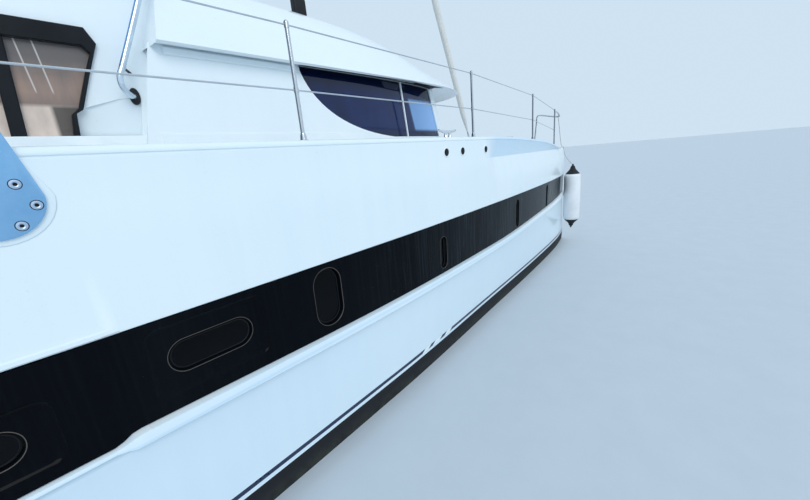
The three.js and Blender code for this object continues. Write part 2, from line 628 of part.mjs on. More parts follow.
// Guard rail of one side: stanchions, two lifelines and the bow pulpit as one piece.
const STANCHION_XS = [-5300, -3550, -1750, 440, 2650, 4740];
const PULPIT_X = 6250;
const RAIL_INSET = 80;
const LOWER_LINE = 290;
function buildGuardRail(hull) {
  const foot = (x) => [x, -(lineAt('gunwale', x) - RAIL_INSET), lineAt('sheer', x)];
  const at = (x, h) => { const [fx, fy, fz] = foot(x); return [fx, fy, fz + h]; };
  const parts = [];
  for (const x of STANCHION_XS) {
    parts.push(bar(at(x, 0), at(x, STANCHION_HEIGHT), 12.5, 8));
    parts.push(bar(at(x, -25), at(x, 14), 30, 8));
  }
  const posts = [...STANCHION_XS, PULPIT_X];
  for (const level of [STANCHION_HEIGHT - 12, LOWER_LINE]) {
    for (let i = 0; i + 1 < posts.length; i += 1) {
      parts.push(bar(at(posts[i], level), at(posts[i + 1], level), 5, 6));
    }
  }
  const bow = at(6980, 0);
  const inboard = [PULPIT_X, -(lineAt('inner', PULPIT_X) + 60), lineAt('sheer', PULPIT_X)];
  const pulpit = [
    at(PULPIT_X, 0), at(PULPIT_X, 560), at(6450, 640), [bow[0], bow[1] - 8, bow[2] + 650],
    [6500, inboard[1] - 10, inboard[2] + 640], [6360, inboard[1], inboard[2] + 560],
    inboard,
  ];
  parts.push(bentTube(pulpit, 12.5, 34, 8, 0.35));
  parts.push(bar(at(PULPIT_X, -25), at(PULPIT_X, 14), 30, 8));
  parts.push(bar([PULPIT_X, inboard[1], inboard[2] - 25], [PULPIT_X, inboard[1], inboard[2] + 14], 30, 8));
  return seatOn(union(parts), hull);
}

// Grab rail from the house side up to the flybridge side, just aft of the side step.
function buildGrabRail(house, roof) {
  const tube = bentTube([
    [-270, -3150, 2500], [-285, -3235, 2520], [-300, -3300, 2620], [-260, -3320, 2800],
    [-250, -3270, 3000], [-262, -3180, 3120], [-265, -3080, 3125],
  ], 14, 22, 8, 0.5);
  const carriers = [house, roof, roof.mirror([0, 1, 0])];
  return carriers.reduce((rest, carrier) => (
    rest.subtract(carrier).subtract(carrier.translate([0, -FIT_GAP, 0]))), tube);
}

// Mooring cleat with two legs, inboard of the guard rail
const CLEAT_X = 2250;
const CLEAT_INSET = 170;
function buildCleat(hull) {
  const x = CLEAT_X;
  const z = lineAt('sheer', x);
  const y = -(lineAt('gunwale', x) - CLEAT_INSET);
  const base = plateXY(roundedRect(x - 80, x + 80, y - 28, y + 28, 26), z - 12, z + 10);
  const legs = [-38, 38].map((dx) => bar([x + dx, y, z + 5], [x + dx, y, z + 62], 14, 8));
  const horn = bar([x - 150, y, z + 66], [x + 150, y, z + 66], 14, 8);
  return seatOn(union([base, ...legs, horn]), hull);
}

// Under water
function foilRing(length, thickness) {
  const points = [];
  const steps = 12;
  for (let i = 0; i < steps; i += 1) {
    const a = (2 * Math.PI * i) / steps;
    const u = 0.5 + 0.5 * Math.cos(a);
    const v = Math.sin(a) * Math.sqrt(Math.max(0, u)) * (1.25 - 0.45 * u);
    points.push([length * (u - 0.5), thickness * 0.5 * v]);
  }
  return points;
}
function foil(levels) {
  return toSolid(loft(levels.map(({ x, y, z, length, thickness }) => (
    foilRing(length, thickness).map(([u, v]) => [x + u, y + v, z]))), (v) => [v[0], v[1]]));
}
function buildKeel(hull) {
  const y = -HULL_CENTRE_Y;
  const raw = foil([
    { x: -400, y, z: -560, length: 3100, thickness: 330 },
    { x: -480, y, z: -1000, length: 2700, thickness: 260 },
    { x: -560, y, z: -1300, length: 2300, thickness: 180 },
  ]);
  return raw.subtract(hull.translate([0, 0, -FIT_GAP]));
}
function buildRudder() {
  const y = -HULL_CENTRE_Y;
  const blade = foil([
    { x: RUDDER_X - 40, y, z: -330, length: 560, thickness: 78 },
    { x: RUDDER_X - 55, y, z: -1180, length: 400, thickness: 52 },
  ]);
  const stock = bar([RUDDER_X, y, -345], [RUDDER_X, y, RUDDER_TOP_Z - FIT_GAP], 32, 12);
  return blade.add(stock);
}
function buildSaildrive(hull) {
  const y = -HULL_CENTRE_Y;
  const leg = foil([
    { x: DRIVE_X, y, z: -300, length: 330, thickness: 120 },
    { x: DRIVE_X, y, z: -860, length: 250, thickness: 90 },
  ]);
  const pod = bar([DRIVE_X - 190, y, -840], [DRIVE_X + 200, y, -840], 66, 12, 30);
  return leg.add(pod).subtract(hull.translate([0, 0, -FIT_GAP]));
}
const PROP_X = DRIVE_X - 190 - 60;
function buildPropeller() {
  const y = -HULL_CENTRE_Y;
  const hub = bar([PROP_X - 70, y, -840], [PROP_X + 59.5, y, -840], 34, 12, 62);
  const bladeShape = new THREE.Shape();
  bladeShape.moveTo(-22, 40);
  bladeShape.quadraticCurveTo(-95, 150, -30, 218);
  bladeShape.quadraticCurveTo(60, 200, 40, 110);
  bladeShape.lineTo(26, 40);
  bladeShape.closePath();
  const blades = [0, 1, 2].map((k) => {
    const blade = new THREE.ExtrudeGeometry(bladeShape, { depth: 12, bevelEnabled: false, curveSegments: 5 });
    blade.translate(0, 0, -6);
    blade.rotateY(0.5);
    blade.rotateX((k * 2 * Math.PI) / 3);
    blade.translate(PROP_X - 4, y, -840);
    return toSolid(blade);
  });
  return union([hub, ...blades]);
}

// Aft
function buildAftPlatform() {
  return box(-7000, BRIDGEDECK_AFT_X - 60, -1900, 1900, 640, 760)
    .add(box(BRIDGEDECK_AFT_X - 100, BRIDGEDECK_AFT_X - FIT_GAP, -1600, 1600, 700, 1220));
}
function buildAftBench() {
  const seat = box(-6180, -5560, -1800, 1800, SALOON_FLOOR_Z + FIT_GAP, SALOON_FLOOR_Z + 430);
  const back = box(-6240, -6100, -1800, 1800, SALOON_FLOOR_Z + FIT_GAP, SALOON_FLOOR_Z + 880);
  return seat.add(back);
}
const LADDER_Y = -1200;
const LADDER_HINGE_X = -7040;
const LADDER_Z = 800;
function buildLadder() {
  const at = (x, dy) => [LADDER_HINGE_X + x, LADDER_Y + dy, LADDER_Z];
  const rails = [-190, 190].map((dy) => bar(at(0, dy), at(620, dy), 14, 8));
  const rungs = [210, 400, 590].map((x) => bar(at(x, -190), at(x, 190), 12, 8));
  const hinge = bar(at(0, -227.5), at(0, 227.5), 16, 8);
  return union([...rails, ...rungs, hinge]);
}
function buildLadderBrackets() {
  return union([-240, 240].map((dy) => box(
    LADDER_HINGE_X - 22, -6990, LADDER_Y + dy - 12, LADDER_Y + dy + 12, 700, LADDER_Z + 20)));
}

// The wide door that closes the saloon aft.
function buildAftDoor() {
  const x0 = SALOON_AFT_X + 2;
  const half = DOOR_HALF - 0.5;
  const frame = box(x0, x0 + 55, -half, half, SALOON_FLOOR_Z + FIT_GAP, EYEBROW_Z - 90.5);
  const hole = box(x0 - 10, x0 + 70, -1760, 1760, SALOON_FLOOR_Z + 420, EYEBROW_Z - 170);
  return frame.subtract(hole);
}
function buildAftDoorGlass() {
  const x0 = SALOON_AFT_X + 2;
  return box(x0 + 18, x0 + 36, -1760 + FIT_GAP, 1760 - FIT_GAP, SALOON_FLOOR_Z + 420 + FIT_GAP, EYEBROW_Z - 170 - FIT_GAP);
}

// Saloon fittings that show through the glass.
function buildGalley() {
  return box(1500, 2500, -1850, -1150, SALOON_FLOOR_Z + FIT_GAP, SALOON_FLOOR_Z + 900)
    .add(box(400, 1500 + 10, -1850, -1250, SALOON_FLOOR_Z + FIT_GAP, SALOON_FLOOR_Z + 900));
}
function buildSettee() {
  const seat = box(-2600, 1200, 900, 1800, SALOON_FLOOR_Z + FIT_GAP, SALOON_FLOOR_Z + 430);
  const back = box(-2600, 1200, 1650, 1850, SALOON_FLOOR_Z + FIT_GAP, SALOON_FLOOR_Z + 880);
  return seat.add(back);
}
function buildTable() {
  const top = plateXY(roundedRect(-1800, 300, -300, 700, 80), SALOON_FLOOR_Z + 700, SALOON_FLOOR_Z + 740);
  const legs = [-1300, -200].map((x) => bar([x, 200, SALOON_FLOOR_Z + FIT_GAP], [x, 200, SALOON_FLOOR_Z + 710], 50, 10));
  return union([top, ...legs]);
}

// Flybridge helm, wheel, seats
const HELM_X = -350;
const HELM_Y = -1500;
const WHEEL_AXIS_Z = ROOF_Z + 880;
function buildHelm() {
  const shape = outline([[HELM_X - 60, ROOF_Z + FIT_GAP], [HELM_X + 420, ROOF_Z + FIT_GAP], [HELM_X + 420, ROOF_Z + 900],
    [HELM_X + 200, ROOF_Z + 1180], [HELM_X + 40, ROOF_Z + 1100], [HELM_X - 20, ROOF_Z + 850]]);
  const boss = bar([HELM_X - 40, HELM_Y, WHEEL_AXIS_Z], [HELM_X + 60, HELM_Y, WHEEL_AXIS_Z], 52, 12);
  return plateXZ(shape, HELM_Y - 420, HELM_Y + 420).add(boss);
}
function buildWheel() {
  const x = HELM_X - 120;
  const rim = new THREE.TorusGeometry(330, 15, 8, 28);
  rim.rotateY(Math.PI / 2);
  rim.translate(x, HELM_Y, WHEEL_AXIS_Z);
  const spokes = [0, 1, 2, 3, 4].map((k) => {
    const a = (k * 2 * Math.PI) / 5 + Math.PI / 2;
    return bar([x, HELM_Y, WHEEL_AXIS_Z], [x, HELM_Y + 330 * Math.cos(a), WHEEL_AXIS_Z + 330 * Math.sin(a)], 9, 6);
  });
  const hub = bar([x - 30, HELM_Y, WHEEL_AXIS_Z], [x + 79.5, HELM_Y, WHEEL_AXIS_Z], 42, 12);
  return union([toSolid(rim), ...spokes, hub]);
}
function buildHelmSeat() {
  const seat = box(HELM_X - 1150, HELM_X - 650, HELM_Y - 600, HELM_Y + 600, ROOF_Z + FIT_GAP, ROOF_Z + 520);
  const back = box(HELM_X - 1270, HELM_X - 1140, HELM_Y - 600, HELM_Y + 600, ROOF_Z + FIT_GAP, ROOF_Z + 950);
  return seat.add(back);
}
function buildFlybridgeSofa() {
  const long = box(-4740, -4150, -2500, 2840, ROOF_Z + FIT_GAP, ROOF_Z + 400);
  const side = box(-4200, -1400, 2200, 2840, ROOF_Z + FIT_GAP, ROOF_Z + 400);
  return long.add(side);
}

// Deck hatch: a rounded square by its centre and half size; the coaming is wider, the well narrower.
const HATCH = { x: 4300, y: -3080, half: 260, corner: 60 };
const HATCH_SEAT = 30;
function hatchOutline(grow) {
  const { x, y, half, corner } = HATCH;
  return roundedRect(x - half - grow, x + half + grow, y - half - grow, y + half + grow, corner + grow / 2);
}
function buildHatchLid() {
  const z = lineAt('sheer', HATCH.x) + HATCH_SEAT + 0.5;
  return plateXY(hatchOutline(0), z, z + 26);
}
function hatchCoaming() {
  const z = lineAt('sheer', HATCH.x);
  return plateXY(hatchOutline(10), z - 80, z + HATCH_SEAT);
}
function hatchWell() {
  const z = lineAt('sheer', HATCH.x);
  return plateXY(hatchOutline(-40), z - 420, z + 80);
}
function buildLockerLid(sign) {
  const x0 = 5420;
  const x1 = 6080;
  const y0 = sign * 1150 - 470;
  const y1 = sign * 1150 + 470;
  const z0 = facetAt('sheer', x0);
  const z1 = facetAt('sheer', x1);
  const rings = [[x0, z0], [x1, z1]].map(([x, z]) => [[x, y0, z + 0.5], [x, y1, z + 0.5], [x, y1, z + 30], [x, y0, z + 30]]);
  return toSolid(loft(rings, (v) => [v[1], v[2]]));
}

function buildWindlass() {
  const base = plateXY(roundedRect(5560, 5760, -90, 90, 40), 1750 + FIT_GAP, 1790);
  const drum = bar([5660, 0, 1780], [5660, 0, 1930], 62, 14, 50);
  return base.add(drum);
}

function buildForedeckCushion() {
  return plateXY(roundedRect(4570, 4930, -1600, 1600, 80), COCKPIT_FLOOR_Z + 330 + FIT_GAP, COCKPIT_FLOOR_Z + 430);
}

const FENDER_RADIUS = 165;
const FENDER_X = 6960;
function buildFender(hull) {
  const r = FENDER_RADIUS;
  const side = lineAt('gunwale', FENDER_X) + STRAKE_OUT;
  const profile = [
    [0, -540], [38, -538], [62, -500], [r - 10, -425], [r, -380], [r, 380], [r - 10, 425], [62, 500], [38, 538], [0, 540],
  ];
  const geometry = new THREE.LatheGeometry(profile.map(([u, v]) => new THREE.Vector2(u, v)), 16);
  geometry.rotateX(Math.PI / 2);
  geometry.translate(FENDER_X, -(side + r + FIT_GAP), 900);
  return toSolid(geometry).subtract(hull.translate([0, -FIT_GAP, 0]));
}

// Assembly
const boat = new THREE.Group();
function place(name, solid, material) {
  const mesh = new THREE.Mesh(toGeometry(solid), material);
  mesh.name = name;
  boat.add(mesh);
}

const starboardHull = buildHull();
const shroud = buildShroud();
const foredeck = buildForedeck();
const house = buildHouse(starboardHull, foredeck);
const roof = buildRoof().add(buildFlybridgeCoaming());
const bowsprit = buildBowsprit().add(buildAnchorRoller()).subtract(foredeck.translate([FIT_GAP, 0, 0]));
const grabRail = largestBody(buildGrabRail(house, roof));
for (const { name, sign } of SIDES) {
  const hull = starboardHull.add(hatchCoaming()).subtract(hatchWell());
  place(`hull_${name}`, onSide(hull, sign), GELCOAT());
  place(`topside_band_${name}`, onSide(buildBand(), sign), BLACK_BAND());
  place(`keel_${name}`, onSide(buildKeel(starboardHull), sign), ANTIFOULING());
  place(`saildrive_${name}`, onSide(buildSaildrive(starboardHull), sign), ANTIFOULING());
  place(`propeller_${name}`, onSide(buildPropeller(), sign), BRONZE());
  place(`rudder_${name}`, onSide(buildRudder(), sign), ANTIFOULING());
  place(`chainplate_${name}`, onSide(buildChainplate(starboardHull), sign), STAINLESS());
  place(`cap_shroud_${name}`, onSide(shroud, sign), WIRE());
  place(`guard_rail_${name}`, onSide(buildGuardRail(starboardHull), sign), STAINLESS());
  place(`grab_rail_${name}`, onSide(grabRail, sign), STAINLESS());
  place(`cleat_forward_${name}`, onSide(buildCleat(starboardHull), sign), STAINLESS());
  place(`hatch_lid_${name}`, onSide(buildHatchLid(), sign), TINTED_GLASS());
  place(`forward_window_${name}`, onSide(glassShell().intersect(plateXZ(forwardSideWindow(0.5), -3700, -2950)), sign), TINTED_GLASS());
  place(`aft_window_${name}`, onSide(glassShell().intersect(plateXZ(aftSideWindow(0.5), -3700, -2950)), sign), TINTED_GLASS());
  place(`locker_lid_${name}`, buildLockerLid(sign), NONSKID());
}
place('bridgedeck', buildBridgedeck(), GELCOAT());
place('foredeck', foredeck, NONSKID());
place('saloon_house', house, GELCOAT());
place('front_window_centre', glassShell().intersect(frontPane(FRONT_PANES[0], 0.5)), TINTED_GLASS());
place('front_window_starboard', glassShell().intersect(frontPane(FRONT_PANES[1], 0.5)), TINTED_GLASS());
place('front_window_port', glassShell().intersect(frontPane(FRONT_PANES[2], 0.5)), TINTED_GLASS());
place('flybridge_roof', roof, GELCOAT());
place('hardtop', buildHardtop(roof), GELCOAT());
place('mast', buildMast(), ALUMINIUM());
place('boom', buildBoom(), ALUMINIUM());
place('mainsail_bag', buildSailBag(), SAILCLOTH());
place('bowsprit', bowsprit, ALUMINIUM());
place('furled_headsail', buildHeadsail(bowsprit), SAILCLOTH());
place('anchor', buildAnchor(), STAINLESS());
place('windlass', buildWindlass(), STAINLESS());
place('forward_cockpit_cushion', buildForedeckCushion(), CUSHION());
place('aft_platform', buildAftPlatform().add(buildLadderBrackets()), TEAK());
place('aft_bench', buildAftBench(), CUSHION());
place('swim_ladder', buildLadder(), STAINLESS());
place('aft_door', buildAftDoor(), GELCOAT());
place('aft_door_glass', buildAftDoorGlass(), TINTED_GLASS());
place('galley_counter', buildGalley(), GELCOAT());
place('saloon_settee', buildSettee(), CUSHION());
place('saloon_table', buildTable(), TEAK());
place('helm_console', buildHelm(), GELCOAT());
place('helm_wheel', buildWheel(), STAINLESS());
place('helm_seat', buildHelmSeat(), CUSHION());
place('flybridge_sofa', buildFlybridgeSofa(), CUSHION());
place('fender', buildFender(starboardHull), FENDER_WHITE());

export default boat;
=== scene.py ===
"""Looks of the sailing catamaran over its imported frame. Metres, +X forward, +Y to port, +Z up."""
import logging
import math
from collections.abc import Callable, Iterable, Sequence
from dataclasses import dataclass, field
from enum import Enum
from typing import Any

import bpy
import numpy as np
from mathutils import Matrix, Vector


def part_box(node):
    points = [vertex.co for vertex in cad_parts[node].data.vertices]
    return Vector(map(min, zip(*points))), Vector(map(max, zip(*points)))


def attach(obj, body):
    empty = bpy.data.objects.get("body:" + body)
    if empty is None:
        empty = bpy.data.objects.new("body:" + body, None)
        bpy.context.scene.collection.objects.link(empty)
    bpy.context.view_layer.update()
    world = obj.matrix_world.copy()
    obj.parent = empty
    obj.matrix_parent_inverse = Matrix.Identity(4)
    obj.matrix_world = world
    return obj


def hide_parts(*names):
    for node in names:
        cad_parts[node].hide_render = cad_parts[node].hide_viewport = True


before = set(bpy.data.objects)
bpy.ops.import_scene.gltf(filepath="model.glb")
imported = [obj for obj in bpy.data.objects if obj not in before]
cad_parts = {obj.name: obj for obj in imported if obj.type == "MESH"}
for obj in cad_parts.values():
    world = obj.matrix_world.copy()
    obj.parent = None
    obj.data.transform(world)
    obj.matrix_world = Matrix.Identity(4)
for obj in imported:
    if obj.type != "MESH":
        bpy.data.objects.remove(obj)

LOG = logging.getLogger("catamaran")
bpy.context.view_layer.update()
Point = Sequence[float]
Colour = tuple[float, float, float]
Outline = list[tuple[float, float]]
Place = Callable[[float, float, float], Point]
UP = Vector((0, 0, 1))


class Side(Enum):
    """Which side of the boat a piece is on; the value is the sign of its y."""

    STARBOARD = -1
    PORT = 1

    @property
    def label(self) -> str:
        """The side's name as the nodes carry it."""
        return self.name.lower()


@dataclass
class Sided:
    """A sub-assembly that stands on each side of the boat."""

    side: Side

    @property
    def sign(self) -> int:
        """The sign of this side's y."""
        return self.side.value

    @property
    def label(self) -> str:
        """This side's name."""
        return self.side.label


# Node trees
class Wire:
    """One node output that takes part in Python arithmetic; each operator adds a Math node."""

    def __init__(self, sheet: "NodeSheet", socket: bpy.types.NodeSocket) -> None:
        """Keeps the sheet that holds the node, and its socket."""
        self.sheet = sheet
        self.socket = socket

    def math(self, operation: str, left: Any, right: Any = 0.0) -> "Wire":
        """A Math node of the named operation on two values."""
        return self.sheet.node("ShaderNodeMath", {"operation": operation}, {0: left, 1: right})

    def __add__(self, other: Any) -> "Wire":
        """self + other."""
        return self.math("ADD", self, other)

    __radd__ = __add__

    def __sub__(self, other: Any) -> "Wire":
        """self - other."""
        return self.math("SUBTRACT", self, other)

    def __rsub__(self, other: Any) -> "Wire":
        """other - self."""
        return self.math("SUBTRACT", other, self)

    def __mul__(self, other: Any) -> "Wire":
        """self * other."""
        return self.math("MULTIPLY", self, other)

    __rmul__ = __mul__

    def __truediv__(self, other: Any) -> "Wire":
        """self / other."""
        return self.math("DIVIDE", self, other)

    def sine(self) -> "Wire":
        """The sine of the value in radians."""
        return self.math("SINE", self)

    def clamp(self) -> "Wire":
        """The value held between 0 and 1."""
        return self.math("MINIMUM", self.math("MAXIMUM", self, 0.0), 1.0)

    def above(self, edge: float, softness: float) -> "Wire":
        """A mask that rises from 0 to 1 across edge."""
        return ((self - edge) / softness + 0.5).clamp()

    def within(self, low: float, high: float, softness: float) -> "Wire":
        """A mask that is 1 between two edges."""
        return self.above(low, softness) * (1 - self.above(high, softness))


class NodeSheet:
    """A node tree with one method that makes any node."""

    def __init__(self, tree: bpy.types.NodeTree) -> None:
        """Empties the tree and keeps it."""
        self.tree = tree
        tree.nodes.clear()

    def feed(self, socket: bpy.types.NodeSocket, value: Any) -> None:
        """Links a wire to a socket, or sets its value; a colour may leave its alpha out."""
        if isinstance(value, Wire):
            self.tree.links.new(value.socket, socket)
        elif socket.type == "RGBA" and len(value) == 3:
            socket.default_value = (*value, 1.0)
        else:
            socket.default_value = value

    def node(self, kind: str, settings: dict[str, Any] | None = None,
             sockets: dict[int | str, Any] | None = None, out: int | str = 0) -> Wire:
        """Makes a node.

        Args:
            kind: the node's type name.
            settings: its settings, set first.
            sockets: values or wires for its inputs, by name or number.
            out: the output to hand back.

        Returns:
            The wire from that output.
        """
        made = self.tree.nodes.new(kind)
        for name, value in (settings or {}).items():
            setattr(made, name, value)
        for key, value in (sockets or {}).items():
            self.feed(made.inputs[key], value)
        return Wire(self, made.outputs[out])


class PaintSheet(NodeSheet):
    """The shader tree of one material."""

    def __init__(self, material: bpy.types.Material) -> None:
        """Starts the tree with the object's own coordinates."""
        super().__init__(material.node_tree)
        self.place = self.node("ShaderNodeTexCoord", out="Object")

    def axes(self) -> tuple[Wire, Wire, Wire]:
        """The x, y and z of the shaded point in metres."""
        split = self.node("ShaderNodeSeparateXYZ", sockets={0: self.place}).socket.node
        return tuple(Wire(self, split.outputs[k]) for k in range(3))

    def facing(self, axis: int) -> Wire:
        """One part of the surface's outward direction."""
        normal = self.node("ShaderNodeNewGeometry", out="Normal")
        return self.node("ShaderNodeSeparateXYZ", {}, {0: normal}, axis)

    def noise(self, scale: float, detail: float = 4.0, roughness: float = 0.55,
              stretch: Point | None = None) -> Wire:
        """Cloudy noise of that scale, from 0 to 1; stretch scales the coordinates on each axis first."""
        at = self.place
        if stretch:
            at = self.node("ShaderNodeMapping", sockets={"Vector": at, "Scale": stretch})
        return self.node("ShaderNodeTexNoise", {}, {
            "Vector": at, "Scale": scale, "Detail": detail, "Roughness": roughness})

    def mix(self, share: Any, first: Any, second: Any) -> Wire:
        """A colour between two colours."""
        return self.node("ShaderNodeMix", {"data_type": "RGBA"}, {0: share, 6: first, 7: second}, out=2)

    def bump(self, height: Wire, depth: float, strength: float = 1.0) -> Wire:
        """A normal from a height map; depth is in metres."""
        return self.node("ShaderNodeBump", {}, {"Height": height, "Distance": depth, "Strength": strength})

    def principled(self, **sockets: Any) -> Wire:
        """The main shader; names are its sockets' with underscores for spaces."""
        return self.node("ShaderNodeBsdfPrincipled", {}, {
            name.replace("_", " "): value for name, value in sockets.items()})

    def close(self, shader: Wire) -> None:
        """Ends the tree in the material output."""
        output = self.tree.nodes.new("ShaderNodeOutputMaterial")
        self.tree.links.new(shader.socket, output.inputs["Surface"])


# Finishes
class Finish:
    """A surface finish, made as a material the first time it is asked for."""

    name: str

    def paint(self, sheet: PaintSheet) -> Wire:
        """Builds the shader on the sheet and hands it back."""
        raise NotImplementedError

    def material(self) -> bpy.types.Material:
        """The finish's material."""
        found = bpy.data.materials.get(self.name)
        if found is None:
            found = bpy.data.materials.new(self.name)
            found.use_nodes = True
            sheet = PaintSheet(found)
            sheet.close(self.paint(sheet))
        return found


@dataclass(frozen=True)
class Gelcoat(Finish):
    """Glossy moulded gelcoat with faint waviness, dust and drips, and where asked painted reflections and
    painted shade.
    """

    name: str
    colour: Colour
    shade: Colour
    roughness: float = 0.2
    coat: float = 0.35
    cool: float = 0.0
    water: Colour = (0.36, 0.63, 0.88)
    grime: Colour = (0.55, 0.54, 0.5)

    def paint(self, sheet: PaintSheet) -> Wire:
        """Clear white with soft bluish clouds and thin vertical streaks; painted water reflection and shade
        below the strake, stronger aft, painted shade just under the strake's top, and a painted sky
        reflection on the bow's hollow strip.
        """
        clouds = sheet.noise(0.6, 3.0)
        streaks = sheet.noise(1.0, 5.0, 0.6, (9.0, 9.0, 0.5))
        dust = sheet.noise(60.0, 6.0, 0.7)
        share = (clouds * 0.6 + streaks * 0.4).above(0.5, 0.5)
        tint = sheet.mix(share, self.colour, self.shade)
        # Painted light: the blue below the strake is painted water reflection and shade, the narrow band
        # under the strake's top is painted shade, and the strip above the bow's knuckle is a painted sky
        # reflection.
        if self.cool > 0.0:
            x, y, z = sheet.axes()
            outward = (y * sheet.facing(1)).above(1.6, 0.8)
            broad = sheet.noise(1.0, 2.0, 0.5, (0.35, 0.35, 0.8))
            aft = 1 - x.above(-0.6, 3.2)
            low = (1 - z.above(0.9, 0.012)) * outward * (0.5 + aft * 0.6 + broad * 0.35 - 0.17)
            strip = z.above(1.965, 0.006) * x.above(2.94, 0.35) * outward
            share = (low * self.cool + z.within(0.884, 0.944, 0.006) * 0.16 + strip * 0.42).clamp()
            tint = sheet.mix(share, tint, self.water)
        grime = dust.above(0.66, 0.1) * streaks.above(0.56, 0.2)
        tint = sheet.mix(grime * 0.3, tint, self.grime)
        waves = sheet.noise(7.0, 2.0) * 0.8 + sheet.noise(240.0, 2.0) * 0.06
        return sheet.principled(
            Base_Color=tint, Roughness=self.roughness + dust * 0.1, Normal=sheet.bump(waves, 0.0035, 0.35),
            Coat_Weight=self.coat, Coat_Roughness=0.06, IOR=1.5)


@dataclass(frozen=True)
class DarkGloss(Finish):
    """Glossy black gelcoat of the topside band, with upright streaks of painted reflection, denser forward,
    and salt specks.
    """

    name: str = "band_gloss"
    colour: Colour = (0.002, 0.003, 0.005)
    streak: Colour = (0.04, 0.058, 0.07)
    speck: Colour = (0.3, 0.32, 0.35)

    def paint(self, sheet: PaintSheet) -> Wire:
        """Black with upright streaks of painted reflection that get denser forward, faint broad clouds of the
        same pale tone, and pale specks.
        """
        # Painted reflection: the pale upright streaks stand for reflections on the glossy black and grow
        # denser towards the bow.
        forward = sheet.axes()[0].above(2.6, 4.0)
        fine = sheet.noise(1.0, 6.0, 0.65, (42.0, 42.0, 0.8))
        broad = sheet.noise(1.0, 3.0, 0.5, (2.2, 2.2, 0.25))
        share = (fine.above(0.58, 0.2) * (0.03 + forward * 0.9) + broad.above(0.6, 0.3) * 0.05).clamp()
        specks = sheet.noise(95.0, 2.0, 0.5).above(0.78, 0.03) * broad.above(0.5, 0.2)
        tint = sheet.mix(share, self.colour, self.streak)
        tint = sheet.mix(specks * 0.4, tint, self.speck)
        return sheet.principled(
            Base_Color=tint, Roughness=0.08 + share * 0.3 + specks * 0.3, Specular_IOR_Level=0.05,
            Normal=sheet.bump(sheet.noise(4.0, 2.0), 0.004, 0.3))


@dataclass(frozen=True)
class Painted(Finish):
    """A plain opaque paint or plastic with fine grain, wear and a soft sheen."""

    name: str
    colour: Colour
    worn: Colour
    roughness: float = 0.5
    grain: float = 400.0
    depth: float = 0.0004
    specular: float = 0.5

    def paint(self, sheet: PaintSheet) -> Wire:
        """Blotches of wear over a fine grain."""
        blotch = sheet.noise(3.0, 6.0, 0.65)
        fine = sheet.noise(self.grain, 3.0)
        tint = sheet.mix(blotch.above(0.56, 0.4) * 0.7, self.colour, self.worn)
        return sheet.principled(
            Base_Color=tint, Roughness=(self.roughness + blotch * 0.16 - 0.08).clamp(),
            Specular_IOR_Level=self.specular, Normal=sheet.bump(fine, self.depth))


@dataclass(frozen=True)
class BootStripe(Finish):
    """The navy boot stripe, broken by a short gap that holds two slanted dashes."""

    name: str = "stripe_navy"
    colour: Colour = (0.008, 0.018, 0.06)
    faded: Colour = (0.025, 0.04, 0.09)
    gap: Colour = (0.8, 0.9, 0.94)
    breaks: tuple[tuple[float, float], ...] = ((1.442, 1.544), (1.621, 1.751), (1.845, 1.953))

    def paint(self, sheet: PaintSheet) -> Wire:
        """Navy paint with the hull's white between the slanted ends."""
        x, _, z = sheet.axes()
        slanted = x - z * 1.6 + 0.36
        fade = sheet.noise(3.0, 6.0, 0.65)
        tint = sheet.mix(fade.above(0.5, 0.4) * 0.6, self.colour, self.faded)
        for start, end in self.breaks:
            tint = sheet.mix(slanted.within(start, end, 0.004), tint, self.gap)
        return sheet.principled(
            Base_Color=tint, Roughness=0.24 + fade * 0.1, Normal=sheet.bump(sheet.noise(300.0, 2.0), 0.0003))


@dataclass(frozen=True)
class GripDeck(Finish):
    """Moulded deck with a grip texture of small raised diamonds; upright faces stay smooth gelcoat."""

    name: str = "deck_grip"
    colour: Colour = (0.7, 0.72, 0.74)
    worn: Colour = (0.6, 0.61, 0.62)
    smooth: Colour = (0.84, 0.91, 0.94)
    pitch: float = 0.012

    def paint(self, sheet: PaintSheet) -> Wire:
        """Diamond studs by two crossed waves, with dirt in the hollows."""
        x, y, _ = sheet.axes()
        level = sheet.facing(2).above(0.8, 0.08)
        turn = math.tau / self.pitch
        studs = (((x + y) * turn).sine() * ((x - y) * turn).sine() * 0.5 + 0.5).clamp()
        dirt = sheet.noise(2.2, 6.0, 0.65)
        tint = sheet.mix((dirt.above(0.5, 0.5) * 0.6 + (1 - studs) * 0.2).clamp(), self.colour, self.worn)
        tint = sheet.mix(level, self.smooth, tint)
        return sheet.principled(
            Base_Color=tint, Roughness=0.3 + level * (0.42 - studs * 0.12),
            Normal=sheet.bump(studs * level, 0.0007))


@dataclass(frozen=True)
class Antifouling(Finish):
    """Matt bottom paint, worn and slimy near the waterline."""

    name: str = "bottom_paint"
    colour: Colour = (0.012, 0.013, 0.017)
    slime: Colour = (0.05, 0.062, 0.045)

    def paint(self, sheet: PaintSheet) -> Wire:
        """Black with brush marks along the hull and a band of growth at the water."""
        z = sheet.axes()[2]
        brush = sheet.noise(1.0, 5.0, 0.6, (1.2, 1.2, 26.0))
        blotch = sheet.noise(9.0, 7.0, 0.7)
        wet = z.within(-0.25, 0.06, 0.12) * blotch.above(0.5, 0.3)
        tint = sheet.mix(wet * 0.6 + brush.above(0.6, 0.3) * 0.12, self.colour, self.slime)
        return sheet.principled(
            Base_Color=tint, Roughness=0.62 + brush * 0.2, Specular_IOR_Level=0.25,
            Normal=sheet.bump(brush + blotch * 0.5, 0.0012))


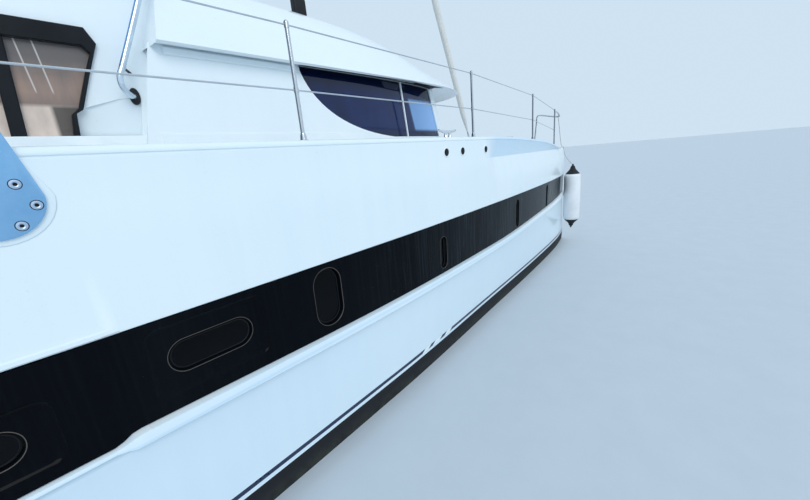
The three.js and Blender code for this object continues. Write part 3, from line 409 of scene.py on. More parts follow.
@dataclass(frozen=True)
class Metal(Finish):
    """Polished, brushed or anodised metal with faint scratches and tarnish, and where asked a painted
    reflection on faces that look aft.
    """

    name: str
    colour: Colour
    tarnish: Colour
    roughness: float = 0.16
    scratch: float = 300.0
    inboard: Colour = (0.1, 0.11, 0.13)
    inboard_share: float = 0.0
    inboard_low: float = 0.0

    def paint(self, sheet: PaintSheet) -> Wire:
        """Fine scratches and soft spots of tarnish; a painted reflection tints faces that look aft and turn
        in towards the boat's middle, above a set height.
        """
        spots = sheet.noise(14.0, 6.0, 0.65)
        lines = sheet.noise(self.scratch, 3.0, 0.6)
        tint = sheet.mix(spots.above(0.58, 0.25) * 0.6, self.colour, self.tarnish)
        # Painted reflection: dark on the stanchions, sky blue on the grab rail.
        if self.inboard_share > 0.0:
            _, y, z = sheet.axes()
            inner = (1 - sheet.facing(0).above(-0.1, 0.3)) * (1 - (y * sheet.facing(1)).above(2.3, 0.8))
            tint = sheet.mix(inner * z.above(self.inboard_low, 0.02) * self.inboard_share, tint, self.inboard)
        return sheet.principled(
            Base_Color=tint, Metallic=1.0, Normal=sheet.bump(lines, 0.00015, 0.5),
            Roughness=self.roughness + lines * 0.1 + spots.above(0.6, 0.3) * 0.14)


@dataclass(frozen=True)
class TintedGlass(Finish):
    """Dark tinted pane with smears, painted reflections and painted light; it lets a little of the inside
    show.
    """

    name: str
    colour: Colour
    warm: Colour
    opacity: float = 0.9
    low: float = 2.3
    high: float = 2.7
    shine: float = 0.5
    through: float = 90.0
    cream: float = 0.0
    pane: Colour = (0.27, 0.52, 0.93)
    dock: Colour = (0.86, 0.7, 0.6)
    corner: Colour = (0.02, 0.018, 0.018)
    glint: Colour = (0.8, 0.74, 0.7)

    def paint(self, sheet: PaintSheet) -> Wire:
        """A tint lightened by a painted reflection between two heights and broken up by rain smears, with
        painted light where the pale front panes show through; the aft glass adds a pale brownish painted
        reflection low down, a darker lower forward corner and two painted glints.
        """
        x, _, z = sheet.axes()
        smear = sheet.noise(1.0, 5.0, 0.6, (5.0, 5.0, 1.2))
        # Painted reflection: a lighter band between two heights, broken up by the smear noise.
        tint = sheet.mix(z.within(self.low, self.high, 0.14) * smear.above(0.42, 0.4), self.colour, self.warm)
        # Painted light: a pale blue patch forward of a slanted line, where the lit front panes show through.
        pale = (x + z * 0.18).above(self.through, 0.03) * z.within(2.33, 2.64, 0.03)
        tint = sheet.mix(pale * (0.7 + x.above(2.5, 0.5) * 0.3), tint, self.pane)
        # Aft glass: a pale brownish painted reflection low down, a darker lower forward corner and two thin
        # painted glints.
        if self.cream > 0.0:
            lower = 1 - z.above(2.455, 0.02)
            grain = sheet.noise(1.0, 4.0, 0.6, (14.0, 14.0, 5.0))
            tint = sheet.mix(lower * self.cream * (0.45 + grain), tint, self.dock)
            tint = sheet.mix(lower * x.above(-0.595, 0.02) * 0.85, tint, self.corner)
            slant = x + z * 0.084
            glints = slant.within(-0.4225, -0.4165, 0.003) + slant.within(-0.3595, -0.3535, 0.003)
            tint = sheet.mix((glints * z.above(2.52, 0.02)).clamp() * 0.7, tint, self.glint)
        return sheet.principled(
            Base_Color=tint, Roughness=0.03 + smear.above(0.6, 0.3) * 0.08, Alpha=self.opacity,
            Specular_IOR_Level=self.shine, Normal=sheet.bump(sheet.noise(1.7, 1.0), 0.004, 0.5))


@dataclass(frozen=True)
class Cloth(Finish):
    """Woven cloth with a visible weave, folds' soiling and a soft sheen."""

    name: str
    colour: Colour
    second: Colour
    thread: float = 0.0035

    def paint(self, sheet: PaintSheet) -> Wire:
        """Crossed threads in two near tones."""
        x, y, z = sheet.axes()
        turn = math.tau / self.thread
        weave = (((x + z * 0.31) * turn).sine() * ((y + z * 0.95) * turn).sine() * 0.5 + 0.5).clamp()
        cloud = sheet.noise(4.0, 6.0, 0.6)
        tint = sheet.mix((weave * 0.45 + cloud.above(0.55, 0.5) * 0.55).clamp(), self.colour, self.second)
        return sheet.principled(
            Base_Color=tint, Roughness=0.82 + weave * 0.1, Sheen_Weight=0.25, Sheen_Roughness=0.5,
            Normal=sheet.bump(weave + cloud * 0.6, 0.0008))


@dataclass(frozen=True)
class Timber(Finish):
    """Weathered teak boards with grain along x."""

    name: str = "teak_boards"
    colour: Colour = (0.4, 0.24, 0.12)
    pale: Colour = (0.56, 0.42, 0.28)

    def paint(self, sheet: PaintSheet) -> Wire:
        """Long grain, knots of tone and grey weathering."""
        grain = sheet.noise(1.0, 8.0, 0.65, (2.5, 60.0, 60.0))
        board = sheet.noise(1.0, 1.0, 0.5, (0.3, 9.0, 3.0))
        tint = sheet.mix((grain * 0.6 + board * 0.5).above(0.52, 0.5), self.colour, self.pale)
        return sheet.principled(
            Base_Color=tint, Roughness=0.58 + grain * 0.25, Normal=sheet.bump(grain, 0.0008))


@dataclass(frozen=True)
class Palette:
    """Every finish on the boat."""

    # The hull's gelcoat paints water and sky reflections and the shade on its strake.
    hull: Gelcoat = Gelcoat("gelcoat_hull", (0.84, 0.92, 0.95), (0.76, 0.87, 0.93), cool=0.34)
    house: Gelcoat = Gelcoat("gelcoat_house", (0.85, 0.92, 0.95), (0.79, 0.88, 0.93), 0.24)
    inside: Gelcoat = Gelcoat("gelcoat_inside", (0.7, 0.7, 0.68), (0.62, 0.62, 0.6), 0.4, 0.1)
    band: DarkGloss = DarkGloss()
    port_frame: Painted = Painted("port_frame", (0.01, 0.011, 0.013), (0.035, 0.037, 0.04), 0.3, specular=0.3)
    stripe: BootStripe = BootStripe()
    # The ports' pale brown rims are a painted highlight along their gaskets.
    port_rim: Painted = Painted("port_rim", (0.12, 0.1, 0.08), (0.02, 0.02, 0.02), 0.4)
    gasket: Painted = Painted("gasket", (0.007, 0.008, 0.01), (0.02, 0.02, 0.024), 0.55, specular=0.15)
    frame_black: Painted = Painted("frame_black", (0.007, 0.009, 0.012), (0.018, 0.021, 0.026), 0.3,
                                   specular=0.15)
    rubber: Painted = Painted("rubber_black", (0.009, 0.01, 0.013), (0.028, 0.03, 0.036), 0.5, specular=0.25)
    fender: Painted = Painted("fender_white", (0.86, 0.89, 0.92), (0.66, 0.68, 0.7), 0.36, 220.0)
    deck: GripDeck = GripDeck()
    bottom: Antifouling = Antifouling()
    steel: Metal = Metal("steel_polished", (0.8, 0.83, 0.86), (0.6, 0.62, 0.64), 0.1)
    # The stanchions and the grab rail carry a painted reflection on their aft-looking inner faces: dark on
    # the stanchions, sky blue on the grab rail.
    stanchion: Metal = Metal("steel_stanchion", (0.66, 0.7, 0.74), (0.5, 0.52, 0.54), 0.14, 300.0,
                             (0.09, 0.1, 0.12), 0.8)
    sky_rail: Metal = Metal("steel_grab_rail", (0.72, 0.82, 0.9), (0.5, 0.6, 0.68), 0.12, 300.0,
                            (0.015, 0.22, 0.55), 0.9, 2.65)
    # The chainplate's and its bolts' blue is a painted sky reflection on the steel.
    plate: Metal = Metal("steel_plate", (0.32, 0.59, 0.88), (0.24, 0.5, 0.8), 0.12)
    bolt: Metal = Metal("steel_bolt", (0.5, 0.62, 0.78), (0.42, 0.5, 0.6), 0.3)
    wire: Metal = Metal("steel_wire", (0.72, 0.74, 0.76), (0.45, 0.46, 0.47), 0.3)
    spar: Metal = Metal("spar_anodised", (0.78, 0.79, 0.8), (0.71, 0.72, 0.73), 0.34)
    bronze: Metal = Metal("bronze_cast", (0.48, 0.36, 0.17), (0.2, 0.26, 0.2), 0.3)
    # The glass finishes paint reflections: a lighter band, pale light from the front panes on the side glass,
    # and on the aft glass a pale brownish reflection and glints.
    glass: TintedGlass = TintedGlass("glass_navy", (0.004, 0.009, 0.03), (0.012, 0.028, 0.1), 0.72)
    glass_side: TintedGlass = TintedGlass("glass_side", (0.001, 0.005, 0.024), (0.005, 0.018, 0.1), 0.9,
                                          through=2.66)
    glass_aft: TintedGlass = TintedGlass("glass_aft", (0.17, 0.15, 0.145), (0.46, 0.31, 0.24), 0.9,
                                         2.45, 2.62, cream=0.9)
    glass_port: TintedGlass = TintedGlass("glass_port", (0.001, 0.0015, 0.002), (0.003, 0.004, 0.006), 0.97,
                                          1.0, 1.2, 0.1)
    cushion: Cloth = Cloth("cloth_cushion", (0.42, 0.4, 0.37), (0.33, 0.32, 0.3))
    sail: Cloth = Cloth("cloth_sail", (0.78, 0.77, 0.73), (0.68, 0.67, 0.63), 0.004)
    bag: Cloth = Cloth("cloth_bag", (0.32, 0.34, 0.37), (0.24, 0.26, 0.29), 0.003)
    rope: Cloth = Cloth("rope_strands", (0.62, 0.63, 0.62), (0.4, 0.41, 0.41), 0.0025)
    teak: Timber = Timber()


PALETTE = Palette()


# Mesh making
EDGE_STEPS = 3


def unit(vector: Point) -> Vector:
    """The vector at length one."""
    return Vector(vector).normalized()


def linked(name: str, data: bpy.types.ID) -> bpy.types.Object:
    """A new object of that data in the scene."""
    made = bpy.data.objects.new(name, data)
    bpy.context.scene.collection.objects.link(made)
    return made


def smooth(mesh: bpy.types.Mesh, sharp: float) -> None:
    """Shades a mesh smooth, but for edges whose faces meet at more than sharp degrees."""
    mesh.shade_smooth()
    mesh.set_sharp_from_angle(angle=math.radians(sharp))


def around(count: int) -> list[float]:
    """Angles evenly round a full turn."""
    return [math.tau * k / count for k in range(count)]


def hoop(centre: Vector, side: Vector, up: Vector, radius: float, count: int) -> list[Vector]:
    """Points evenly round a circle."""
    return [centre + (side * math.cos(a) + up * math.sin(a)) * radius for a in around(count)]


def lying(u: float, v: float, w: float) -> Point:
    """Places an outline flat: u along x, v along y, w up."""
    return (u, v, w)


def facing_ahead(u: float, v: float, w: float) -> Point:
    """Places an outline across the boat: u along y, v up, w along x."""
    return (w, u, v)


def facing_abeam(sign: float) -> Place:
    """Places an outline along the boat: u along x, v up, w out to the side of that sign."""
    return lambda u, v, w: (u, sign * w, v)


def lying_on(sign: float) -> Place:
    """Places an outline flat on the side of that sign."""
    return lambda u, v, w: (u, sign * v, w)


class Draft:
    """Collects closed shapes, each with its finish, and makes one object of them."""

    def __init__(self, name: str) -> None:
        """Starts an empty piece of that name."""
        self.name = name
        self.points: list[Point] = []
        self.faces: list[tuple[int, ...]] = []
        self.finishes: list[Finish] = []

    def add(self, points: Iterable[Point], faces: Iterable[Sequence[int]],
            finish: Finish | Sequence[Finish]) -> "Draft":
        """Adds one closed shape and turns it so that its faces point outwards.

        Args:
            points: its corner points.
            faces: its faces as point numbers.
            finish: one finish for all faces, or one for each.

        Returns:
            This draft.
        """
        points = [tuple(map(float, p)) for p in points]
        faces = [tuple(f) for f in faces]
        places = np.array(points)
        volume = 0.0
        for face in faces:
            for k in range(1, len(face) - 1):
                volume += float(np.dot(places[face[0]], np.cross(places[face[k]], places[face[k + 1]])))
        if volume < 0:
            faces = [f[::-1] for f in faces]
        base = len(self.points)
        self.points += points
        self.faces += [tuple(base + i for i in f) for f in faces]
        self.finishes += list(finish) if isinstance(finish, (list, tuple)) else [finish] * len(faces)
        return self

    def loft(self, rings: Sequence[Sequence[Point]], finish: Finish | Sequence[Finish],
             caps: Finish | None = None, closed: bool = False) -> "Draft":
        """A skin through rings of equal point count.

        Args:
            rings: the rings in order.
            finish: one finish, or one for each strip along the rings.
            caps: the finish of the two end faces, if not that of the first strip.
            closed: whether the last ring joins the first, which needs no caps.

        Returns:
            This draft.
        """
        count = len(rings[0])
        strips = list(finish) if isinstance(finish, (list, tuple)) else [finish] * count
        faces, finishes = [], []
        for r in range(len(rings) if closed else len(rings) - 1):
            a, b = r * count, ((r + 1) % len(rings)) * count
            for i in range(count):
                j = (i + 1) % count
                faces.append((a + i, a + j, b + j, b + i))
                finishes.append(strips[i])
        if not closed:
            last = (len(rings) - 1) * count
            faces.append(tuple(reversed(range(count))))
            faces.append(tuple(last + i for i in range(count)))
            finishes += [caps or strips[0]] * 2
        return self.add([p for ring in rings for p in ring], faces, finishes)

    def tube(self, path: Sequence[Point], radius: float | Sequence[float], finish: Finish,
             sides: int = 10, closed: bool = False) -> "Draft":
        """A round tube along a path; radius may be one for each point."""
        points = [Vector(p) for p in path]
        last = len(points) - 1
        radii = list(radius) if isinstance(radius, (list, tuple)) else [radius] * len(points)
        rings = []
        side = None
        for k, point in enumerate(points):
            before = points[k - 1] if k or closed else points[0]
            after = points[(k + 1) % len(points)] if k < last or closed else points[last]
            ahead = (after - before).normalized()
            if side is None:
                side = ahead.orthogonal().normalized()
            side = (side - ahead * side.dot(ahead)).normalized()
            rings.append(hoop(point, side, ahead.cross(side), radii[k], sides))
        return self.loft(rings, finish, closed=closed)

    def turned(self, start: Point, end: Point, profile: Sequence[tuple[float, float]], finish: Finish,
               sides: int = 20) -> "Draft":
        """A turned shape; profile rows are the distance in metres from start and the radius there."""
        ahead = unit(Vector(end) - Vector(start))
        side = ahead.orthogonal().normalized()
        return self.loft([hoop(Vector(start) + ahead * d, side, ahead.cross(side), max(r, 1e-5), sides)
                          for d, r in profile], finish)

    def stack(self, levels: Iterable[tuple[Sequence[tuple[float, float]], float]], finish: Finish,
              place: Place = lying, closed: bool = False) -> "Draft":
        """A skin through (outline, w) levels."""
        return self.loft([[place(u, v, w) for u, v in ring] for ring, w in levels], finish, closed=closed)

    def slab(self, outline: Sequence[tuple[float, float]], low: float, high: float, finish: Finish,
             place: Place = lying, edge: float = 0.0) -> "Draft":
        """A flat outline made thick, with rounded edges on both faces.

        Args:
            outline: its corners in the order round it.
            low: where the thickness starts.
            high: where it ends.
            finish: its finish.
            place: turns (u, v, w) into a point, so the slab may stand or bend.
            edge: the edge radius.

        Returns:
            This draft.
        """
        levels = [(low, 0.0), (high, 0.0)]
        if edge > 0:
            turns = [math.pi / 2 * k / EDGE_STEPS for k in range(EDGE_STEPS + 1)]
            levels = [(low + edge * (1 - math.cos(t)), edge * (1 - math.sin(t))) for t in turns]
            levels += [(high - edge * (1 - math.cos(t)), edge * (1 - math.sin(t))) for t in reversed(turns)]
        return self.stack([(shrink(outline, s), w) for w, s in levels], finish, place)

    def make(self, sharp: float = 32.0) -> bpy.types.Object:
        """The finished object, smooth where its faces meet at less than sharp degrees."""
        mesh = bpy.data.meshes.new(self.name)
        mesh.from_pydata([tuple(p) for p in self.points], [], self.faces)
        kinds = list(dict.fromkeys(self.finishes))
        for finish in kinds:
            mesh.materials.append(finish.material())
        mesh.polygons.foreach_set("material_index", [kinds.index(f) for f in self.finishes])
        mesh.validate(clean_customdata=False)
        smooth(mesh, sharp)
        return linked(self.name, mesh)


def shrink(outline: Sequence[tuple[float, float]], inset: float) -> Outline:
    """A closed outline moved inwards by inset, corner by corner."""
    if not inset:
        return list(outline)
    count = len(outline)
    area = sum(outline[i][0] * outline[(i + 1) % count][1] - outline[(i + 1) % count][0] * outline[i][1]
               for i in range(count))
    sense = 1.0 if area > 0 else -1.0
    moved = []
    for i, (u, v) in enumerate(outline):
        before = Vector((u - outline[i - 1][0], v - outline[i - 1][1])).normalized()
        after = Vector((outline[(i + 1) % count][0] - u, outline[(i + 1) % count][1] - v)).normalized()
        normal = Vector((-(before.y + after.y), before.x + after.x))
        if normal.length < 1e-9:
            normal = Vector((-before.y, before.x))
        normal.normalize()
        reach = inset / max(0.35, normal.dot(Vector((-before.y, before.x))))
        moved.append((u + sense * normal.x * reach, v + sense * normal.y * reach))
    return moved


def rounded(u0: float, u1: float, v0: float, v1: float, r: float, steps: int = 6) -> Outline:
    """A rectangle with round corners."""
    corners = ((u1 - r, v0 + r, -90), (u1 - r, v1 - r, 0), (u0 + r, v1 - r, 90), (u0 + r, v0 + r, 180))
    turns = [(cu, cv, math.radians(a + 90 * k / steps)) for cu, cv, a in corners for k in range(steps + 1)]
    return [(cu + r * math.cos(t), cv + r * math.sin(t)) for cu, cv, t in turns]


def soften(corners: Sequence[tuple[float, float]], hard: int = 3) -> Outline:
    """Rounds an open line by cutting its corners, apart from its first hard ones and its last."""
    line = [(u, v, k < hard or k == len(corners) - 1) for k, (u, v) in enumerate(corners)]
    for _ in range(3):
        out = [line[0]]
        for a, b in zip(line, line[1:]):
            if not a[2]:
                out.append((0.75 * a[0] + 0.25 * b[0], 0.75 * a[1] + 0.25 * b[1], False))
            if not b[2]:
                out.append((0.25 * a[0] + 0.75 * b[0], 0.25 * a[1] + 0.75 * b[1], False))
            else:
                out.append(b)
        line = out
    return [(u, v) for u, v, _ in line]


def smooth_path(points: Sequence[Point], steps: int = 8) -> list[Vector]:
    """A smooth line through points, with that many steps between each two."""
    spots = [Vector(p) for p in points]
    ends = [spots[0] * 2 - spots[1], *spots, spots[-1] * 2 - spots[-2]]
    line = []
    for i in range(1, len(ends) - 2):
        p0, p1, p2, p3 = ends[i - 1:i + 3]
        for k in range(steps):
            t = k / steps
            line.append(0.5 * ((2 * p1) + (p2 - p0) * t + (2 * p0 - 5 * p1 + 4 * p2 - p3) * t ** 2
                               + (3 * p1 - p0 - 3 * p2 + p3) * t ** 3))
    return [*line, spots[-1]]


def baked(piece: bpy.types.Object) -> bpy.types.Object:
    """The piece with its modifiers applied to a plain mesh."""
    mesh = bpy.data.meshes.new_from_object(piece.evaluated_get(bpy.context.evaluated_depsgraph_get()))
    mesh.name = piece.name
    piece.modifiers.clear()
    old, piece.data = piece.data, mesh
    bpy.data.meshes.remove(old)
    return piece


class Carve(Enum):
    """What a cutting shape does to a piece."""

    CUT = "DIFFERENCE"
    KEEP = "INTERSECT"


def carved(piece: bpy.types.Object, cutter: Draft, way: Carve = Carve.CUT,
           sharp: float = 32.0) -> bpy.types.Object:
    """The piece cut by the draft's shapes, or kept only inside them."""
    tool = cutter.make()
    change = piece.modifiers.new("carve", "BOOLEAN")
    change.operation = way.value
    change.solver = "EXACT"
    change.use_self = True
    change.object = tool
    baked(piece)
    bpy.data.objects.remove(tool)
    smooth(piece.data, sharp)
    return piece


def publish(piece: bpy.types.Object, slot: str, *nodes: str, body: str = "boat") -> bpy.types.Object:
    """Puts a finished piece on its body and hides the frame nodes it stands for."""
    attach(piece, body)
    if nodes:
        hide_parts(*nodes)
    LOG.info("%s on %s: %d faces", piece.name, body, len(piece.data.polygons))
    return piece


def dress(node: str, finish: Finish) -> None:
    """Gives a frame node's object a finish."""
    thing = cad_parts[node]
    thing.data.materials.clear()
    thing.data.materials.append(finish.material())


# Pieces grown by rule
class Growth(NodeSheet):
    """A geometry tree with named inputs that grows a piece on the points and edges of a plain mesh."""

    def __init__(self, name: str) -> None:
        """Starts the tree with its geometry going in and out."""
        super().__init__(bpy.data.node_groups.new(f"{name}_tree", "GeometryNodeTree"))
        self.name = name
        for way in ("INPUT", "OUTPUT"):
            self.tree.interface.new_socket("Geometry", in_out=way, socket_type="NodeSocketGeometry")
        self.inlet = self.tree.nodes.new("NodeGroupInput")
        self.values: dict[str, Any] = {}
        self.start = Wire(self, self.inlet.outputs["Geometry"])

    def given(self, name: str, value: Any, kind: str = "Float") -> Wire:
        """A named input with the value that the piece sets on its modifier."""
        socket = self.tree.interface.new_socket(name, in_out="INPUT", socket_type=f"NodeSocket{kind}")
        self.values[socket.identifier] = value
        return Wire(self, self.inlet.outputs[name])

    def vector(self, x: Any = 0.0, y: Any = 0.0, z: Any = 0.0) -> Wire:
        """Three numbers as one vector."""
        return self.node("ShaderNodeCombineXYZ", {}, {0: x, 1: y, 2: z})

    def joined(self, *shapes: Wire) -> Wire:
        """Several shapes as one."""
        made = self.node("GeometryNodeJoinGeometry")
        for shape in shapes:
            self.tree.links.new(shape.socket, made.socket.node.inputs[0])
        return made

    def ring(self, radius: Any, count: int) -> Wire:
        """A round profile."""
        return self.node("GeometryNodeCurvePrimitiveCircle", {}, {"Resolution": count, "Radius": radius})

    def swept(self, curve: Wire, profile: Wire) -> Wire:
        """A profile carried along a curve, with closed ends."""
        return self.node("GeometryNodeCurveToMesh", {}, {
            "Curve": curve, "Profile Curve": profile, "Fill Caps": True})

    def moved(self, shape: Wire, by: Any) -> Wire:
        """A shape moved by a vector."""
        return self.node("GeometryNodeTransform", {}, {"Geometry": shape, "Translation": by})

    def line(self) -> Wire:
        """The plain mesh's edges as a curve."""
        return self.node("GeometryNodeMeshToCurve", {}, {0: self.start})

    def upright(self, length: Any) -> Wire:
        """A straight curve up from the origin."""
        return self.node("GeometryNodeCurvePrimitiveLine", {}, {
            "Start": self.vector(), "End": self.vector(z=length)})

    def copies(self, shape: Wire, points: Wire | None = None, turn: Any = (0.0, 0.0, 0.0)) -> Wire:
        """A copy of the shape on every point; the plain mesh's own points if none are given."""
        points = points or self.node("GeometryNodeMeshToPoints", {}, {0: self.start})
        return self.node("GeometryNodeInstanceOnPoints", {}, {
            "Points": points, "Instance": shape, "Rotation": turn})

    def grow(self, shape: Wire, points: Sequence[Point], finish: Finish, chain: bool = False,
             aims: Sequence[Point] | None = None, sharp: float = 40.0) -> bpy.types.Object:
        """Ends the tree in real, finished geometry and bakes it.

        Args:
            shape: what the tree grows.
            points: the plain mesh's points.
            finish: the finish of the whole piece.
            chain: whether edges join the points in order.
            aims: which way each point's copy faces.
            sharp: the angle at which edges stay sharp.

        Returns:
            The finished piece.
        """
        paint = self.given("Material", finish.material(), "Material")
        real = self.node("GeometryNodeRealizeInstances", {}, {0: shape})
        done = self.node("GeometryNodeSetMaterial", {}, {"Geometry": real, "Material": paint})
        outlet = self.tree.nodes.new("NodeGroupOutput")
        self.tree.links.new(done.socket, outlet.inputs[0])
        mesh = bpy.data.meshes.new(self.name)
        edges = [(k, k + 1) for k in range(len(points) - 1)] if chain else []
        mesh.from_pydata([tuple(p) for p in points], edges, [])
        if aims is not None:
            layer = mesh.attributes.new("aim", "FLOAT_VECTOR", "POINT")
            layer.data.foreach_set("vector", [float(c) for aim in aims for c in aim])
        piece = linked(self.name, mesh)
        change = piece.modifiers.new("grow", "NODES")
        change.node_group = self.tree
        for identifier, value in self.values.items():
            change[identifier] = value
        baked(piece)
        smooth(piece.data, sharp)
        return piece


def rope(name: str, path: Sequence[Point], radius: float, finish: Finish) -> bpy.types.Object:
    """A three-strand rope along a path."""
    pitch = 6.0
    tree = Growth(name)
    size = tree.given("Rope Radius", radius)
    twist = tree.given("Twist Per Metre", math.tau / (pitch * radius))
    curve = tree.node("GeometryNodeResampleCurve", {"mode": "LENGTH"}, {
        "Curve": tree.line(), "Length": pitch * radius / 8})
    length = tree.node("GeometryNodeSplineParameter", out="Length")
    curve = tree.node("GeometryNodeSetCurveTilt", {}, {"Curve": curve, "Tilt": length * twist})
    strands = [tree.moved(tree.ring(size * 0.53, 7), tree.vector(size * (0.5 * math.cos(a)),
                                                                 size * (0.5 * math.sin(a))))
               for a in around(3)]
    return tree.grow(tree.swept(curve, tree.joined(*strands)), path, finish, chain=True, sharp=70.0)


def bolts(name: str, spots: Sequence[tuple[Point, Point]], radius: float, finish: Finish) -> bpy.types.Object:
    """Hexagon heads on washers at (place, direction) spots."""
    tree = Growth(name)
    size = tree.given("Head Radius", radius)

    def disc(count: int, top: float, bottom: float, depth: float, rise: float) -> Wire:
        """A low cone, raised so that its foot is at rise; all in head radii."""
        made = tree.node("GeometryNodeMeshCone", {}, {
            "Vertices": count, "Radius Top": size * top, "Radius Bottom": size * bottom,
            "Depth": size * depth})
        return tree.moved(made, tree.vector(z=size * rise))

    head = tree.joined(disc(20, 1.5, 1.62, 0.3, -0.1), disc(6, 1.0, 1.05, 0.5, 0.2),
                       disc(12, 0.55, 0.62, 0.3, 0.6))
    aim = tree.node("GeometryNodeInputNamedAttribute", {"data_type": "FLOAT_VECTOR"}, {"Name": "aim"})
    turn = tree.node("FunctionNodeAlignRotationToVector", {"axis": "Z"}, {"Vector": aim})
    return tree.grow(tree.copies(head, turn=turn), [p for p, _ in spots], finish, aims=[a for _, a in spots],
                     sharp=30.0)


def slats(name: str, spots: Sequence[Point], length: float, width: float, thick: float,
          finish: Finish) -> bpy.types.Object:
    """Boards with rounded edges that run along y, centred on each spot."""
    tree = Growth(name)
    long = tree.given("Board Length", length)
    wide = tree.given("Board Width", width)
    deep = tree.given("Board Thickness", thick)
    line = tree.node("GeometryNodeCurvePrimitiveLine", {}, {
        "Start": tree.vector(y=long * -0.5), "End": tree.vector(y=long * 0.5)})
    profile = tree.node("GeometryNodeCurvePrimitiveQuadrilateral", {}, {0: wide, 1: deep})
    profile = tree.node("GeometryNodeFilletCurve", {"mode": "POLY"}, {
        "Curve": profile, "Count": 2, "Radius": deep * 0.3})
    return tree.grow(tree.copies(tree.swept(line, profile)), spots, finish)


# The hull's lines
HULL_END = 7.15
STEP_ENDS = (-6.75, -6.48, -6.21, -5.94, -5.67)
STEP_LOW, STEP_RISE = 0.52, 0.3


@dataclass(frozen=True)
class Row:
    """One row of the hull's lines; breadths are from the centreline, outboard positive."""

    x: float
    gunwale: float
    inner: float
    wl_out: float
    wl_in: float
    keel: float
    sheer: float
    strake: float


HULL_ROWS = (
    Row(-7.15, 3.740, 2.080, 3.640, 2.600, -0.060, 2.200, 0.950),
    Row(-5.20, 3.870, 1.980, 3.800, 2.480, -0.400, 2.200, 0.950),
    Row(-3.00, 3.935, 1.920, 3.875, 2.400, -0.600, 2.200, 0.950),
    Row(-1.20, 3.950, 1.900, 3.890, 2.380, -0.650, 2.200, 0.950),
    Row(1.00, 3.910, 1.920, 3.830, 2.420, -0.650, 2.200, 0.918),
    Row(3.00, 3.790, 2.060, 3.690, 2.590, -0.610, 2.200, 0.922),
    Row(5.00, 3.600, 2.440, 3.530, 2.860, -0.520, 2.140, 0.985),
    Row(6.40, 3.410, 2.960, 3.380, 3.080, -0.430, 2.010, 1.040),
    Row(7.15, 3.255, 3.185, 3.246, 3.194, -0.320, 1.925, 1.070),
)


def hull_line(column: str, x: float) -> float:
    """A smooth reading of one column of the hull's lines at x."""
    rows = HULL_ROWS
    last = len(rows) - 1
    value = [getattr(row, column) for row in rows]
    if x <= rows[0].x:
        return value[0]
    if x >= rows[last].x:
        return value[last]
    i = next(k for k in range(last) if x <= rows[k + 1].x)

    def chord(k: int) -> float:
        """The slope between two rows."""
        return (value[k + 1] - value[k]) / (rows[k + 1].x - rows[k].x)

    def slope(k: int) -> float:
        """The slope at a row, flat where the line turns."""
        if k in (0, last):
            return chord(0 if k == 0 else last - 1)
        back, ahead = chord(k - 1), chord(k)
        return 0.0 if back * ahead <= 0 else 2 * back * ahead / (back + ahead)

    span = rows[i + 1].x - rows[i].x
    t = (x - rows[i].x) / span
    return ((2 * t ** 3 - 3 * t ** 2 + 1) * value[i] + (t ** 3 - 2 * t ** 2 + t) * slope(i) * span
            + (-2 * t ** 3 + 3 * t ** 2) * value[i + 1] + (t ** 3 - t ** 2) * slope(i + 1) * span)


def strake_top(x: float) -> float:
    """The height of the strake's top edge, which steps down aft of its notch."""
    return hull_line("strake", x) - 0.034 * ramp(x, -0.735, -0.80)


def ramp(x: float, start: float, end: float) -> float:
    """0 before start and 1 after end, straight between; start may be past end."""
    return min(1.0, max(0.0, (x - start) / (end - start)))


def spread(start: float, end: float, step: float) -> list[float]:
    """Even places from start to end, about step apart."""
    count = max(1, round(abs(end - start) / step))
    return [start + (end - start) * k / count for k in range(count + 1)]


@dataclass(frozen=True)
class HullPort:
    """A port in the dark band: its middle, half sizes, and how much its recess is wider and taller."""

    x: float
    z: float
    half_x: float
    half_z: float
    recess: float = 0.02
    lift: float = 0.02


